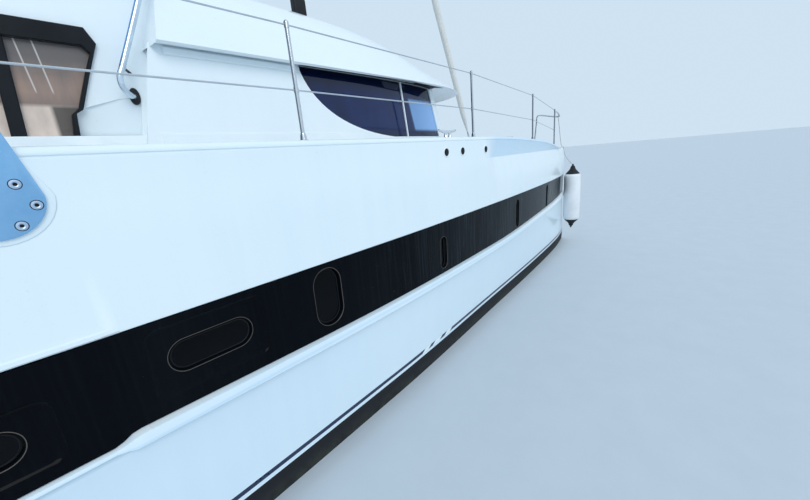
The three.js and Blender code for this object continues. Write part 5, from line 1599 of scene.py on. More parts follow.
@dataclass
class Hardware(Sided):
    """Chainplate, shroud, grab rail, cleat and the vents by it on one side."""

    plate_x: float = -0.90
    eye_z: float = 2.25
    cleat_x: float = 2.25
    vents: tuple[float, ...] = (1.936, 2.246, 2.785)
    head: Point = (1.14, -0.115, 18.0)

    def edge(self, x: float, out: float, z: float) -> Vector:
        """A place that far outside the deck edge's breadth."""
        return Vector((x, self.sign * (hull_line("gunwale", x) + out), z))

    def chainplate(self) -> list[bpy.types.Object]:
        """The plate with its eye boss, six socket bolts and the moulded pad behind it."""
        x, low, eye = self.plate_x, 2.022, self.eye_z
        outline = [(x + 0.137 * math.cos(a), low + 0.137 * math.sin(a))
                   for a in spread(math.pi, math.tau, math.pi / 18)]
        outline += [(x + 0.082 * math.cos(a), eye + 0.078 * math.sin(a))
                    for a in spread(0.0, math.pi, math.pi / 12)]
        draft = Draft(f"chainplate_plate_{self.label}")

        def place(u: float, v: float, w: float) -> Point:
            """A point w outside the deck edge."""
            return tuple(self.edge(u, w, v))

        draft.slab(outline, -0.003, 0.0185, PALETTE.plate, place, 0.004)
        flanks = [(0.137 - 0.24 * (v - low), v) for v in (2.05, 2.08, 2.11, 2.14, 2.166)]
        pad = [(u + (u - x) * 0.20, v - 0.022 * math.sin(math.pi * k / 18))
               for k, (u, v) in enumerate(outline[:19])]
        pad += [(x + s * (half * (1 + 0.2 * ramp(v, 2.166, 2.04))), v)
                for s, rows in ((1, flanks), (-1, flanks[::-1])) for half, v in rows]
        draft.slab(pad, -0.02, 0.0065, PALETTE.hull, place, 0.004)
        boss = [(-0.010, 0.030), (0.004, 0.056), (0.020, 0.056), (0.024, 0.051), (0.024, 0.026),
                (0.026, 0.024), (0.040, 0.022), (0.043, 0.018)]
        draft.turned(self.edge(x, 0.0, eye), self.edge(x, 0.05, eye), boss, PALETTE.steel, 28)
        heads = Draft(f"chainplate_bolts_{self.label}")
        for dx, z in ((0.073, 2.071), (0.108, 1.993), (0.054, 1.927)):
            for at in (x - dx, x + dx):
                foot, tip = self.edge(at, 0.0180, z), self.edge(at, 0.0680, z)
                heads.turned(foot, tip, ((0.0, 0.0190), (0.0012, 0.0182)), PALETTE.rubber, 28)
                heads.turned(foot, tip, (
                    (0.0008, 0.0166), (0.0030, 0.0156), (0.0036, 0.0096), (0.0022, 0.0068)), PALETTE.bolt, 28)
                heads.turned(foot, tip, ((0.0018, 0.0071), (0.0027, 0.0067)), PALETTE.gasket, 6)
        return [draft.make(), heads.make()]

    def shroud(self) -> bpy.types.Object:
        """The cap shroud: fork, screw, body, upper screw and wire."""
        foot = self.edge(self.plate_x, 0.030, self.eye_z)
        head = Vector((self.head[0], self.sign * -self.head[1], self.head[2]))
        ahead = unit(head - foot)
        draft = Draft(f"shroud_wire_{self.label}")
        for shift in (-0.019, 0.019):
            off = Vector((shift, 0, 0))
            draft.tube([foot + off * share + ahead * reach for share, reach in (
                (1.0, -0.028), (1.0, 0.09), (0.4, 0.13))], [0.010, 0.010, 0.013], PALETTE.steel, 10)
        draft.turned(foot, head, (
            (0.11, 0.014), (0.13, 0.020), (0.16, 0.020), (0.165, 0.011), (0.24, 0.011), (0.242, 0.0185),
            (0.27, 0.0205), (0.30, 0.018), (0.42, 0.018), (0.45, 0.0205), (0.478, 0.0185), (0.48, 0.010),
            (0.55, 0.010), (0.556, 0.014), (0.70, 0.011), (0.71, 0.0068)), PALETTE.steel, 16)
        draft.tube([foot + ahead * 0.70, head], 0.0065, PALETTE.wire, 8)
        pin = Vector((0.032, 0, 0))
        draft.tube([foot - pin, foot + pin], 0.009, PALETTE.steel, 12)
        return draft.make()

    def grab_rail(self) -> bpy.types.Object:
        """The bent rail beside the flybridge with its oval foot."""
        sign = self.sign
        line = [(-0.225, 3.206, 2.521), (-0.255, 3.262, 2.516), (-0.288, 3.292, 2.545), (-0.292, 3.300, 2.60),
                (-0.268, 3.300, 2.655), (-0.182, 3.300, 2.851), (-0.114, 3.300, 3.01), (-0.066, 3.275, 3.125),
                (-0.058, 3.215, 3.160), (-0.060, 3.120, 3.165)]
        path = smooth_path([(x, sign * y, z) for x, y, z in line], 7)
        draft = Draft(f"grab_rail_tube_{self.label}").tube(path, 0.0155, PALETTE.sky_rail, 16)
        draft.slab(oval(0.026, 0.046, -0.225, 2.521), 3.198, 3.218, PALETTE.rubber,
                   facing_abeam(sign), 0.004)
        draft.tube([(-0.262, sign * 3.292, 2.650), (-0.215, sign * 3.198, 2.648)], 0.007, PALETTE.rubber, 8)
        return draft.make()

    def cleat(self) -> bpy.types.Object:
        """A horned cleat on two legs."""
        foot = self.edge(self.cleat_x, -0.17, hull_line("sheer", self.cleat_x))
        draft = Draft(f"cleat_body_{self.label}")
        horn = [foot + Vector((dx, 0, dz)) for dx, dz in (
            (-0.150, 0.084), (-0.135, 0.078), (-0.09, 0.068), (-0.04, 0.064), (0.0, 0.063), (0.04, 0.064),
            (0.09, 0.068), (0.135, 0.078), (0.150, 0.084))]
        draft.tube(horn, [0.006, 0.011, 0.013, 0.015, 0.016, 0.015, 0.013, 0.011, 0.006], PALETTE.steel, 14)
        for dx in (-0.038, 0.038):
            leg = foot + Vector((dx, 0, 0))
            draft.turned(leg, leg + UP, ((0.002, 0.026), (0.012, 0.018), (0.035, 0.0125), (0.062, 0.013)),
                         PALETTE.steel)
        draft.slab([(foot.x + u, foot.y + v) for u, v in rounded(-0.08, 0.08, -0.028, 0.028, 0.026)],
                   foot.z - 0.010, foot.z + 0.010, PALETTE.steel, edge=0.004)
        return draft.make()

    def vent_ovals(self) -> bpy.types.Object:
        """The dark ovals with pale rims below the cleat."""
        draft = Draft(f"deck_vents_{self.label}")
        hull = Topsides(self.side)

        def place(u: float, v: float, w: float) -> Point:
            """A point that far outside the topside."""
            return tuple(self.edge(u, w - 0.001 - hull.lean_at(u, v), v))

        for x in self.vents:
            outline = oval(0.046, 0.040, x, 2.062)
            draft.tube([place(u, v, 0.002) for u, v in outline], 0.006, PALETTE.hull, 8, closed=True)
            draft.slab(outline, -0.01, 0.0035, PALETTE.gasket, place, 0.001)
        return draft.make()

    def publish(self) -> None:
        """Builds every piece of this side."""
        plate, heads = self.chainplate()
        label = self.label
        publish(plate, "stainless", f"chainplate_{label}")
        publish(heads, "stainless")
        publish(self.shroud(), "wire", f"cap_shroud_{label}")
        publish(self.grab_rail(), "stainless", f"grab_rail_{label}")
        publish(self.cleat(), "stainless", f"cleat_forward_{label}")
        publish(self.vent_ovals(), "gelcoat")


@dataclass
class Fender:
    """The hanging fender with black ends and its lanyard."""

    x: float = 6.96
    radius: float = 0.158
    low: float = 0.49
    high: float = 1.44

    def publish(self) -> None:
        """Builds the fender and the lanyard."""
        y = -(hull_line("gunwale", self.x) + 0.034 + self.radius + 0.008)
        r = self.radius
        draft = Draft("fender_body")

        def at(z: float) -> Vector:
            """A place on the fender's axis."""
            return Vector((self.x, y, z))

        long = self.high - self.low
        body = [(0.0, r * 0.80), (0.012, r * 0.90), (0.035, r * 0.97), (0.07, r), (0.47, r * 1.004),
                (long - 0.07, r), (long - 0.035, r * 0.97), (long - 0.012, r * 0.90), (long, r * 0.80)]
        draft.turned(at(self.low), at(self.high), body, PALETTE.fender, 36)
        for foot, way, tall in ((self.low, -1, 0.145), (self.high, 1, 0.16)):
            cone = [(-0.004, r * 0.84), (0.006, r * 0.83), (0.03, r * 0.70), (tall * 0.5, r * 0.42),
                    (tall * 0.7, r * 0.30), (tall * 0.9, r * 0.26), (tall, r * 0.16)]
            draft.turned(at(foot), at(foot + way), cone, PALETTE.rubber, 28)
            tip = at(foot + way * (tall + 0.002))
            draft.tube(hoop(tip, Vector((1, 0, 0)), UP, 0.026, 16), 0.012, PALETTE.rubber, 10, closed=True)
        publish(draft.make(), "fender", "fender")
        top = at(self.high + 0.172)
        path = [top, Vector((6.93, y + 0.14, 1.80)), *(
            Vector((x, -(hull_line("gunwale", x) + out), z)) for x, out, z in (
                (6.86, 0.010, 1.985), (6.80, -0.03, 2.06), (6.60, -0.08, hull_line("sheer", 6.6) + 0.648)))]
        publish(rope("fender_lanyard", smooth_path(path, 6), 0.006, PALETTE.rope), "fender")


# Soft goods and seats
@dataclass
class Pads:
    """A row of crowned cushions with piping, as one padded piece."""

    name: str
    crown: float = 0.018
    pull: float = 0.010
    fill: float = 0.75
    pads: Draft = field(init=False)

    def __post_init__(self) -> None:
        """Starts the piece."""
        self.pads = Draft(self.name)

    def add(self, u0: float, u1: float, v0: float, v1: float, low: float, high: float,
            place: Place = lying) -> "Pads":
        """Adds a cushion over a rectangle, from low to its sewn edge at high; it crowns above that.

        Args:
            u0, u1, v0, v1: the rectangle.
            low: the flat side's level.
            high: the seam's level.
            place: turns (u, v, w) into a point.

        Returns:
            This row.
        """
        cu, cv, hu, hv = (u0 + u1) / 2, (v0 + v1) / 2, (u1 - u0) / 2, (v1 - v0) / 2

        def ring(grow: float, level: float, scale: float = 1.0) -> list[Point]:
            """One closed line round the cushion."""
            points = []
            for a in around(56):
                c, s = math.cos(a), math.sin(a)
                u = math.copysign(abs(c) ** 0.22, c)
                v = math.copysign(abs(s) ** 0.22, s)
                waist = self.pull * (1 - abs(u * v) ** 6)
                reach_u, reach_v = hu + grow - waist * abs(u) ** 8, hv + grow - waist * abs(v) ** 8
                points.append(place(cu + reach_u * u * scale, cv + reach_v * v * scale, level))
            return points

        tall = high - low
        rings = [ring(-0.010, low), ring(-0.002, low + 0.006), ring(0.0, low + 0.018),
                 ring(0.004, low + tall * 0.5), ring(0.0, high - 0.014), ring(-0.002, high - 0.004)]
        for k in range(1, 9):
            t = k / 8
            rings.append(ring(-0.004, high + self.crown * (1 - (1 - t) ** 2.4), max(0.02, 1 - t ** 1.6)))
        self.pads.loft(rings, PALETTE.cushion)
        for level in (low + 0.012, high - 0.006):
            self.pads.tube(ring(0.0015, level), 0.0038, PALETTE.cushion, 6, closed=True)
        return self

    def publish(self, *nodes: str) -> None:
        piece = publish(self.pads.make(50.0), "cushion", *nodes)


@dataclass
class Bench:
    """A moulded plinth with seat cushions, and back cushions along one side."""

    node: str
    x0: float
    x1: float
    y0: float
    y1: float
    floor: float
    seat: float
    back: str = ""
    back_top: float = 0.0
    count: int = 3
    thick: float = 0.12
    back_thick: float = 0.13

    def publish(self) -> None:
        """Builds the plinth and its cushions."""
        base_top = self.seat - self.thick
        draft = Draft(f"{self.node}_plinth")
        outline = rounded(self.x0 + 0.02, self.x1 - 0.02, self.y0 + 0.02, self.y1 - 0.02, 0.05)
        kick = shrink(outline, 0.04)
        draft.stack([(kick, self.floor + 0.001), (kick, self.floor + 0.07), (outline, self.floor + 0.09),
                     (outline, base_top - 0.012), (shrink(outline, 0.012), base_top)], PALETTE.house)
        publish(draft.make(), "gelcoat")
        row = Pads(f"{self.node}_cushions")
        depth = self.back_thick if self.back else 0.0
        x0, x1, y0, y1 = self.x0 + 0.01, self.x1 - 0.01, self.y0 + 0.01, self.y1 - 0.01
        along_x = (x1 - x0) > (y1 - y0)
        if self.back == "aft":
            x0 += depth
        if self.back == "port":
            y1 -= depth
        for k in range(self.count):
            a, b = k / self.count, (k + 1) / self.count
            seat = ((x0 + (x1 - x0) * a + 0.003, x0 + (x1 - x0) * b - 0.003, y0, y1) if along_x else
                    (x0, x1, y0 + (y1 - y0) * a + 0.003, y0 + (y1 - y0) * b - 0.003))
            row.add(*seat, base_top, self.seat - row.crown)
            if self.back == "aft":
                row.add(*seat[2:], self.seat + 0.004, self.back_top - 0.01, x0 - depth + 0.01, x0 - 0.024,
                        facing_ahead)
            if self.back == "port":
                row.add(*seat[:2], self.seat + 0.004, self.back_top - 0.01, -(y1 + depth - 0.01),
                        -(y1 + 0.024), facing_abeam(-1))
        row.publish(self.node)


@dataclass
class SailGoods:
    """The mainsail in its bag on the boom and the furled headsail."""

    base: float = 6.034
    lazy_pitch: float = 1.12
    bag_line: tuple[tuple[float, float, float], ...] = (
        (0.86, 0.145, 0.62), (0.50, 0.185, 0.61), (-1.6, 0.175, 0.46), (-3.4, 0.145, 0.32),
        (-4.75, 0.095, 0.20))
    foot: Point = (8.84, 0.0, 2.214)
    head: Point = (1.43, 0.0, 19.9)

    def bag(self) -> bpy.types.Object:
        """The bag: a lofted shell that sags between its lazy lines, with a zip along the top."""
        rings = []
        along, *across = zip(*reversed(self.bag_line))
        back, front = along[0], along[-1]
        for x in spread(front - 0.002, back + 0.002, 0.07):
            half, tall = (float(np.interp(x, along, column)) for column in across)
            hang = 0.5 - 0.5 * math.cos(math.tau * (x - front) / self.lazy_pitch)
            inside = min(front - x, x - back)
            end = min(1.0, 0.55 + 6 * inside) if inside < 0.075 else 1.0
            ring = []
            for a in around(40):
                lobe = math.copysign(abs(math.cos(a)) ** 0.85, math.cos(a))
                rise = 0.5 + 0.5 * math.sin(a)
                fold = 0.012 * math.sin(9 * a + 3.1 * x) * math.sin(a * 0.5) ** 2
                fold += 0.006 * math.sin(23 * x + 4 * a)
                width = half * (1.02 - 0.36 * rise ** 2) * end
                height = tall * (rise ** 0.8) * end * (1 - 0.05 * hang * rise) + fold * rise * 0.6
                ring.append((x, (width + fold) * lobe, self.base + height))
            rings.append(ring)
        draft = Draft("sail_bag").loft(rings, PALETTE.bag)
        top = [(ring[10][0], ring[10][1], ring[10][2] + 0.002) for ring in rings[1:-1]]
        draft.tube(top, 0.007, PALETTE.rubber, 6)
        return draft.make(60.0)

    def headsail(self) -> bpy.types.Object:
        """The rolled sail with its spiral overlap and the darker strip of its edge."""
        foot, head = Vector(self.foot), Vector(self.head)
        ahead = unit(head - foot)
        reach = (head - foot).length
        side = ahead.orthogonal().normalized()
        up = ahead.cross(side)
        rings = []
        for s in spread(0.024, 0.955, 0.0035):
            size = 0.022 + sum(rise * ramp(s, low, high) for rise, low, high in (
                (0.052, 0.024, 0.05), (0.010, 0.05, 0.3), (-0.022, 0.3, 0.62), (-0.038, 0.62, 0.955)))
            ring = []
            for a in around(18):
                lap = (a / math.tau + s * 9.0) % 1.0
                r = size * (0.93 + 0.11 * lap + 0.02 * math.sin(41 * s + 3 * a))
                ring.append(foot + ahead * (s * reach) + (side * math.cos(a) + up * math.sin(a)) * r)
            rings.append(ring)
        return Draft("headsail_roll").loft(rings, PALETTE.sail).make(75.0)

    def furler(self) -> bpy.types.Object:
        """The headsail's drum, foil and swivel."""
        foot, head = Vector(self.foot), Vector(self.head)
        reach = (head - foot).length
        profile = [(0.0, 0.012), (0.10, 0.012), (0.105, 0.060), (0.118, 0.102), (0.126, 0.102),
                   (0.132, 0.055), (0.24, 0.055), (0.247, 0.102), (0.256, 0.102), (0.27, 0.050),
                   (0.32, 0.030), (0.40, 0.026), (0.52, 0.020), (reach * 0.952, 0.015),
                   (reach * 0.955, 0.030), (reach * 0.962, 0.030), (reach * 0.964, 0.008), (reach, 0.008)]
        return Draft("headsail_furler").turned(foot, head, profile, PALETTE.steel, 20).make()

    def publish(self) -> None:
        """Builds the sails."""
        publish(self.bag(), "sailcloth", "mainsail_bag", body="boom")
        publish(self.headsail(), "sailcloth", "furled_headsail")
        publish(self.furler(), "stainless")


def furnish() -> None:
    """Every bench and cushion."""
    floor, roof = 1.3505, 3.3005
    Bench("aft_bench", -6.24, -5.56, -1.80, 1.80, floor, 1.78, "aft", 2.23, 4).publish()
    Bench("saloon_settee", -2.60, 1.20, 0.90, 1.85, floor, 1.78, "port", 2.23, 4).publish()
    Bench("helm_seat", -1.62, -1.00, -2.10, -0.90, roof, 3.82, "aft", 4.25, 2).publish()
    Bench("flybridge_sofa", -4.74, -4.15, -2.50, 2.84, roof, 3.70, "", 0.0, 5).publish()
    row = Pads("flybridge_side_cushions")
    for k in range(3):
        x0 = -4.13 + 0.91 * k
        row.add(x0, x0 + 0.90, 2.21, 2.83, 3.56, 3.68)
    row.publish()
    draft = Draft("flybridge_side_plinth")
    draft.slab(rounded(-4.13, -1.41, 2.23, 2.82, 0.05), roof, 3.558, PALETTE.house, edge=0.012)
    publish(draft.make(), "gelcoat")
    row = Pads("forward_cushions")
    for k in range(3):
        y0 = -1.59 + 1.065 * k
        row.add(4.575, 4.925, y0, y0 + 1.055, 1.9805, 2.062)
    row.publish("forward_cockpit_cushion")


# Deck, aft and helm details
@dataclass
class DeckFittings(Sided):
    """Hatch and locker lids of one side, with the hatch's coaming and the stern steps' treads."""

    hatch: tuple[float, float, float] = (4.30, 3.08, 0.26)
    locker: tuple[float, float, float, float] = (5.42, 6.08, 0.68, 1.62)

    def hatch_pieces(self) -> None:
        """The smoked lid in its frame with hinges and grip, and the coaming under it."""
        label, at = self.label, lying_on(self.sign)
        x, y, half = self.hatch
        low, high = (float(corner[2]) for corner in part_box(f"hatch_lid_{label}"))
        lid = Draft(f"hatch_cover_{label}")
        outer = rounded(x - half, x + half, y - half, y + half, 0.06)
        inner = shrink(outer, 0.030)
        lid.stack([(outer, low), (outer, high - 0.006), (shrink(outer, 0.006), high - 0.001),
                   (shrink(outer, 0.024), high - 0.001), (inner, high - 0.004), (inner, low)],
                  PALETTE.spar, at, closed=True)
        lid.slab(shrink(outer, 0.029), low + 0.006, high - 0.003, PALETTE.glass, at, 0.003)
        for dy in (-0.15, 0.15):
            lid.tube([at(x + half - 0.012, y + dy + reach, high + 0.001) for reach in (-0.022, 0.022)],
                     0.008, PALETTE.steel, 12)
        grip = [at(x - half + 0.05, y + dy, high + rise) for dy, rise in (
            (-0.05, -0.004), (-0.045, 0.012), (0.045, 0.012), (0.05, -0.004))]
        lid.tube(smooth_path(grip), 0.005, PALETTE.rubber, 8)
        publish(lid.make(), "tinted_glass", f"hatch_lid_{label}", body=f"hatch_{label}")
        rim = Draft(f"hatch_coaming_{label}")
        wide, well = shrink(outer, -0.010), shrink(outer, 0.040)
        rim.stack([(wide, low - 0.05), (wide, low - 0.008), (shrink(wide, 0.004), low - 0.002),
                   (shrink(wide, 0.03), low - 0.002), (well, low - 0.008), (well, low - 0.05)],
                  PALETTE.house, at, closed=True)
        publish(rim.make(), "gelcoat")

    def locker_lid(self) -> None:
        """The locker lid with a grip panel, rubbing edge, flush ring and hinges."""
        sign, label = self.sign, self.label
        x0, x1, y0, y1 = self.locker

        def at(u: float, v: float, w: float) -> Point:
            """A place w above the sloping deck."""
            slope = (hull_line("sheer", x1) - hull_line("sheer", x0)) / (x1 - x0)
            return (u, sign * v, hull_line("sheer", x0) + slope * (u - x0) + w)

        lid = Draft(f"locker_cover_{label}")
        outline = rounded(x0, x1, y0, y1, 0.05)
        lid.slab(outline, 0.001, 0.027, PALETTE.house, at, 0.006)
        panel = rounded(x0 + 0.05, x1 - 0.05, y0 + 0.05, y1 - 0.05, 0.03)
        lid.slab(panel, 0.02, 0.0298, PALETTE.deck, at, 0.002)
        ring = [at(x1 - 0.028 + 0.014 * math.cos(a), (y0 + y1) / 2 + 0.02 * math.sin(a), 0.029)
                for a in around(20)]
        lid.tube(ring, 0.003, PALETTE.steel, 8, closed=True)
        publish(lid.make(15.0), "nonskid", f"locker_lid_{label}", body=f"locker_{label}")

    def treads(self) -> bpy.types.Object:
        """Teak boards on the stern steps."""
        spots = []
        for k, (start, end) in enumerate(zip((-6.885, *STEP_ENDS), STEP_ENDS)):
            spots += [(x, self.sign * 2.92, STEP_LOW + 0.0035 + STEP_RISE * k)
                      for x in spread(start + 0.045, end - 0.045, 0.052)]
        return slats(f"stern_treads_{self.label}", spots, 1.12, 0.046, 0.010, PALETTE.teak)

    def publish(self) -> None:
        """Builds every piece of this side."""
        self.hatch_pieces()
        self.locker_lid()
        publish(self.treads(), "teak")


@dataclass
class BowGear:
    """The anchor, the windlass and the chain between them, and bolts on the windlass and sprit."""

    link: float = 0.046
    wire: float = 0.0065

    def chain(self) -> bpy.types.Object:
        """Links along the chain's path, each turned a quarter from the last."""
        tree = Growth("anchor_chain")
        gap, wire = tree.given("Link Spacing", self.link * 0.66), tree.given("Wire Radius", self.wire)
        half = tree.given("Link Half Length", self.link / 2)
        path = tree.node("GeometryNodeResampleCurve", {"mode": "LENGTH"}, {
            "Curve": tree.line(), "Length": gap})
        loop = tree.node("GeometryNodeTransform", {}, {
            "Geometry": tree.ring(half, 16), "Scale": (0.62, 1.0, 1.0),
            "Rotation": (math.pi / 2, 0.0, math.pi / 2)})
        link = tree.swept(loop, tree.ring(wire, 8))
        tangent = tree.node("GeometryNodeInputTangent")
        along = tree.node("FunctionNodeAlignRotationToVector", {"axis": "Y"}, {"Vector": tangent})
        number = tree.node("GeometryNodeInputIndex")
        spin = tree.node("FunctionNodeAxisAngleToRotation", {}, {
            "Axis": (0.0, 1.0, 0.0), "Angle": number * (math.pi / 2)})
        turn = tree.node("FunctionNodeRotateRotation", {"rotation_space": "LOCAL"}, {0: along, 1: spin})
        points = tree.node("GeometryNodeCurveToPoints", {"mode": "EVALUATED"}, {"Curve": path})
        return tree.grow(tree.copies(link, points, turn), [(5.700, 0.0, 1.834), (5.885, 0.0, 1.815)],
                         PALETTE.steel, chain=True)

    def anchor(self) -> bpy.types.Object:
        """A plough anchor: a flat shank with its eye, and two hollow flukes meeting at a sharp toe."""
        draft = Draft("anchor_body")
        shank = smooth_path(((6.77, 1.733, 0.017), (6.95, 1.729, 0.019), (7.20, 1.724, 0.023),
                             (7.40, 1.708, 0.028), (7.475, 1.665, 0.034), (7.470, 1.600, 0.036)), 4)
        rings = []
        for k, (x, z, half) in enumerate(shank):
            ahead = Vector(shank[min(k + 1, len(shank) - 1)][:2]) - Vector(shank[max(k - 1, 0)][:2])
            across = Vector((-ahead.y, ahead.x)).normalized() * half
            rings.append([(x + across.x * t, y, z + across.y * t) for t, y in (
                (0.8, -0.010), (0.8, 0.010), (0, 0.0125), (-0.8, 0.010), (-0.8, -0.010), (0, -0.0125))])
        draft.loft(rings, PALETTE.steel)
        draft.tube([(6.775, 0.022, 1.733), (6.775, -0.022, 1.733)], 0.011, PALETTE.rubber, 12)
        spine = smooth_path(((7.475, 0, 1.612), (7.40, 0, 1.540), (7.26, 0, 1.478), (7.12, 0, 1.440),
                             (7.00, 0, 1.428)), 5)
        tips = smooth_path(((0.030, 0, 1.618), (0.155, 0, 1.592), (0.205, 0, 1.545), (0.150, 0, 1.485),
                            (0.012, 0, 1.432)), 5)
        for sign in (-1, 1):
            blade = []
            for (x, _, z), (half, _, tip) in zip(spine, tips):
                row = [(x, sign * half * i / 7, z + (tip - z) * (i / 7) ** 1.4) for i in range(8)]
                blade.append([*row, *[(px, py, pz - 0.010) for px, py, pz in reversed(row)]])
            draft.loft(blade, PALETTE.steel)
        return draft.make(35.0)

    def windlass(self) -> bpy.types.Object:
        """The windlass: a bevelled base, a gipsy for the chain, a waisted drum and its cap."""
        draft = Draft("windlass_body")
        draft.slab(rounded(5.56, 5.76, -0.09, 0.09, 0.04), 1.7503, 1.790, PALETTE.spar, edge=0.008)
        foot = Vector((5.66, 0.0, 1.788))
        draft.turned(foot, foot + UP, (
            (0.0, 0.058), (0.018, 0.060), (0.022, 0.052), (0.040, 0.040), (0.052, 0.040), (0.068, 0.054),
            (0.078, 0.058), (0.084, 0.046), (0.105, 0.038), (0.125, 0.044), (0.134, 0.054), (0.140, 0.050),
            (0.142, 0.020)), PALETTE.steel, 32)
        return draft.make()

    def publish(self) -> None:
        """Builds the anchor, the windlass, the chain and the bolts."""
        publish(self.anchor(), "stainless", "anchor")
        publish(self.windlass(), "stainless", "windlass")
        publish(self.chain(), "stainless")
        spots = [((5.66 + dx, dy, 1.7905), (0, 0, 1)) for dx in (-0.075, 0.075) for dy in (-0.065, 0.065)]
        spots += [((6.3805, dy, z), (1, 0, 0)) for dy in (-0.17, 0.17) for z in (1.78, 1.93)]
        publish(bolts("bow_bolts", spots, 0.009, PALETTE.steel), "stainless")


@dataclass
class AftDetails:
    """Platform boards, ladder treads and the saloon door's bars."""

    def publish(self) -> None:
        """Builds the boards and bars."""
        boards = [(x, 0.0, 0.7640) for x in spread(-6.955, -6.40, 0.0555)]
        publish(slats("platform_boards", boards, 3.74, 0.050, 0.011, PALETTE.teak), "teak")
        treads = [(-7.04 + x, -1.2, 0.8165) for x in (0.21, 0.40, 0.59)]
        publish(slats("ladder_treads", treads, 0.34, 0.055, 0.010, PALETTE.teak), "teak", body="ladder")
        draft = Draft("door_bars")
        for y in (-0.88, 0.0, 0.88):
            draft.slab(rounded(y - 0.022, y + 0.022, 1.775, 2.62, 0.004), -4.592, -4.583, PALETTE.frame_black,
                       facing_ahead, 0.002)
        grip = [(x, -1.83, z) for x, z in ((-4.60, 1.62), (-4.635, 1.64), (-4.635, 1.94), (-4.60, 1.96))]
        draft.tube(smooth_path(grip), 0.010, PALETTE.steel, 12)
        publish(draft.make(), "aluminium")


@dataclass
class Helm:
    """The steering wheel, and the instruments, throttle and lamp about the console."""

    x: float = -0.47
    y: float = -1.50
    z: float = 4.18
    rim: float = 0.33
    spokes: int = 5

    def wheel(self) -> bpy.types.Object:
        """The wheel: rim, tapered spokes, hub and king spoke wrap."""
        centre = Vector((self.x, self.y, self.z))
        draft = Draft("steering_wheel")

        def out(angle: float, reach: float, ahead: float = 0.0) -> Vector:
            """A place round the hub."""
            return centre + Vector((ahead, reach * math.cos(angle), reach * math.sin(angle)))

        draft.tube([out(a, self.rim) for a in around(64)], 0.0145, PALETTE.steel, 12, closed=True)
        for a in around(self.spokes):
            path = [out(a + math.pi / 2, reach, ahead) for reach, ahead in (
                (0.03, 0.02), (0.12, 0.014), (0.24, 0.004), (self.rim - 0.006, 0.0))]
            draft.tube(smooth_path(path, 4), 0.0078, PALETTE.steel, 10)
        hub = ((0.0, 0.036), (0.04, 0.040), (0.075, 0.042), (0.09, 0.036), (0.10, 0.024), (0.1095, 0.016))
        draft.turned(out(0, 0, 0.0795), out(0, 0, -0.03), hub, PALETTE.steel, 24)
        grip = [out(math.pi / 2 + (k - 6) * 0.028, self.rim) for k in range(13)]
        draft.tube(grip, 0.0185, PALETTE.rubber, 12)
        return draft.make()

    def instruments(self) -> bpy.types.Object:
        """Screens on the console's sloped face, a throttle and the deck lamp."""
        draft = Draft("helm_instruments")
        low, high = Vector((-0.372, 0.0, 4.136)), Vector((-0.306, 0.0, 4.404))
        up = unit(high - low)
        face = Vector((-up.z, 0.0, up.x))

        def place(u: float, v: float, w: float) -> Point:
            """A place on the sloped face."""
            return low + up * v + face * w + Vector((0.0, self.y + u, 0.0))

        for u in (-0.26, 0.26):
            draft.slab(rounded(u - 0.1, u + 0.1, 0.05, 0.23, 0.012), -0.004, 0.012, PALETTE.rubber,
                       place, 0.003)
            draft.slab(rounded(u - 0.088, u + 0.088, 0.064, 0.216, 0.006), 0.010, 0.0135,
                       PALETTE.glass, place, 0.001)
        for u in (-0.06, 0.06):
            base = Vector((-0.20, self.y + 0.33 + u * 0.4, 4.45))
            draft.tube([base, base + Vector((-0.03, 0, 0.12)), base + Vector((-0.03, 0.02, 0.15))], 0.009,
                       PALETTE.steel, 10)
        draft.slab(rounded(1.19, 1.31, -2.885, -2.815, 0.015), 3.298, 3.47, PALETTE.rubber, edge=0.01)
        return draft.make()

    def publish(self) -> None:
        """Builds the wheel and the instruments."""
        publish(self.wheel(), "stainless", "helm_wheel", body="wheel")
        publish(self.instruments(), "tinted_glass")


@dataclass
class Propeller(Sided):
    """A three-bladed propeller with twisted blades."""

    x: float = -4.95
    y: float = 3.15
    z: float = -0.84
    root: float = 0.045
    tip: float = 0.218

    def publish(self) -> None:
        """Builds the propeller."""
        centre = Vector((self.x, self.sign * self.y, self.z))
        draft = Draft(f"propeller_blades_{self.label}")
        draft.turned(centre + Vector((0.0595, 0, 0)), centre + Vector((-0.07, 0, 0)), (
            (0.0, 0.062), (0.05, 0.060), (0.085, 0.050), (0.115, 0.030), (0.1295, 0.010)), PALETTE.bronze, 28)
        for turn in around(3):
            rings = []
            for share in spread(0.0, 1.0, 0.1):
                r = self.root + (self.tip - self.root) * share
                chord = 0.055 * (0.55 + 1.9 * share - 2.05 * share ** 3.2) + 0.004
                twist = math.atan2(0.30, math.tau * r)
                ring = []
                for a in around(12):
                    along, thick = chord * math.cos(a), 0.006 * (1.15 - share) * math.sin(a)
                    u = along * math.sin(twist) + thick * math.cos(twist)
                    v = along * math.cos(twist) - thick * math.sin(twist)
                    swing = turn + v / r + 0.25 * share
                    ring.append(centre + Vector((-0.004 + u, r * math.cos(swing), r * math.sin(swing))))
                rings.append(ring)
            draft.loft(rings, PALETTE.bronze)
        name = f"propeller_{self.label}"
        publish(draft.make(50.0), "bronze", name, body=name)


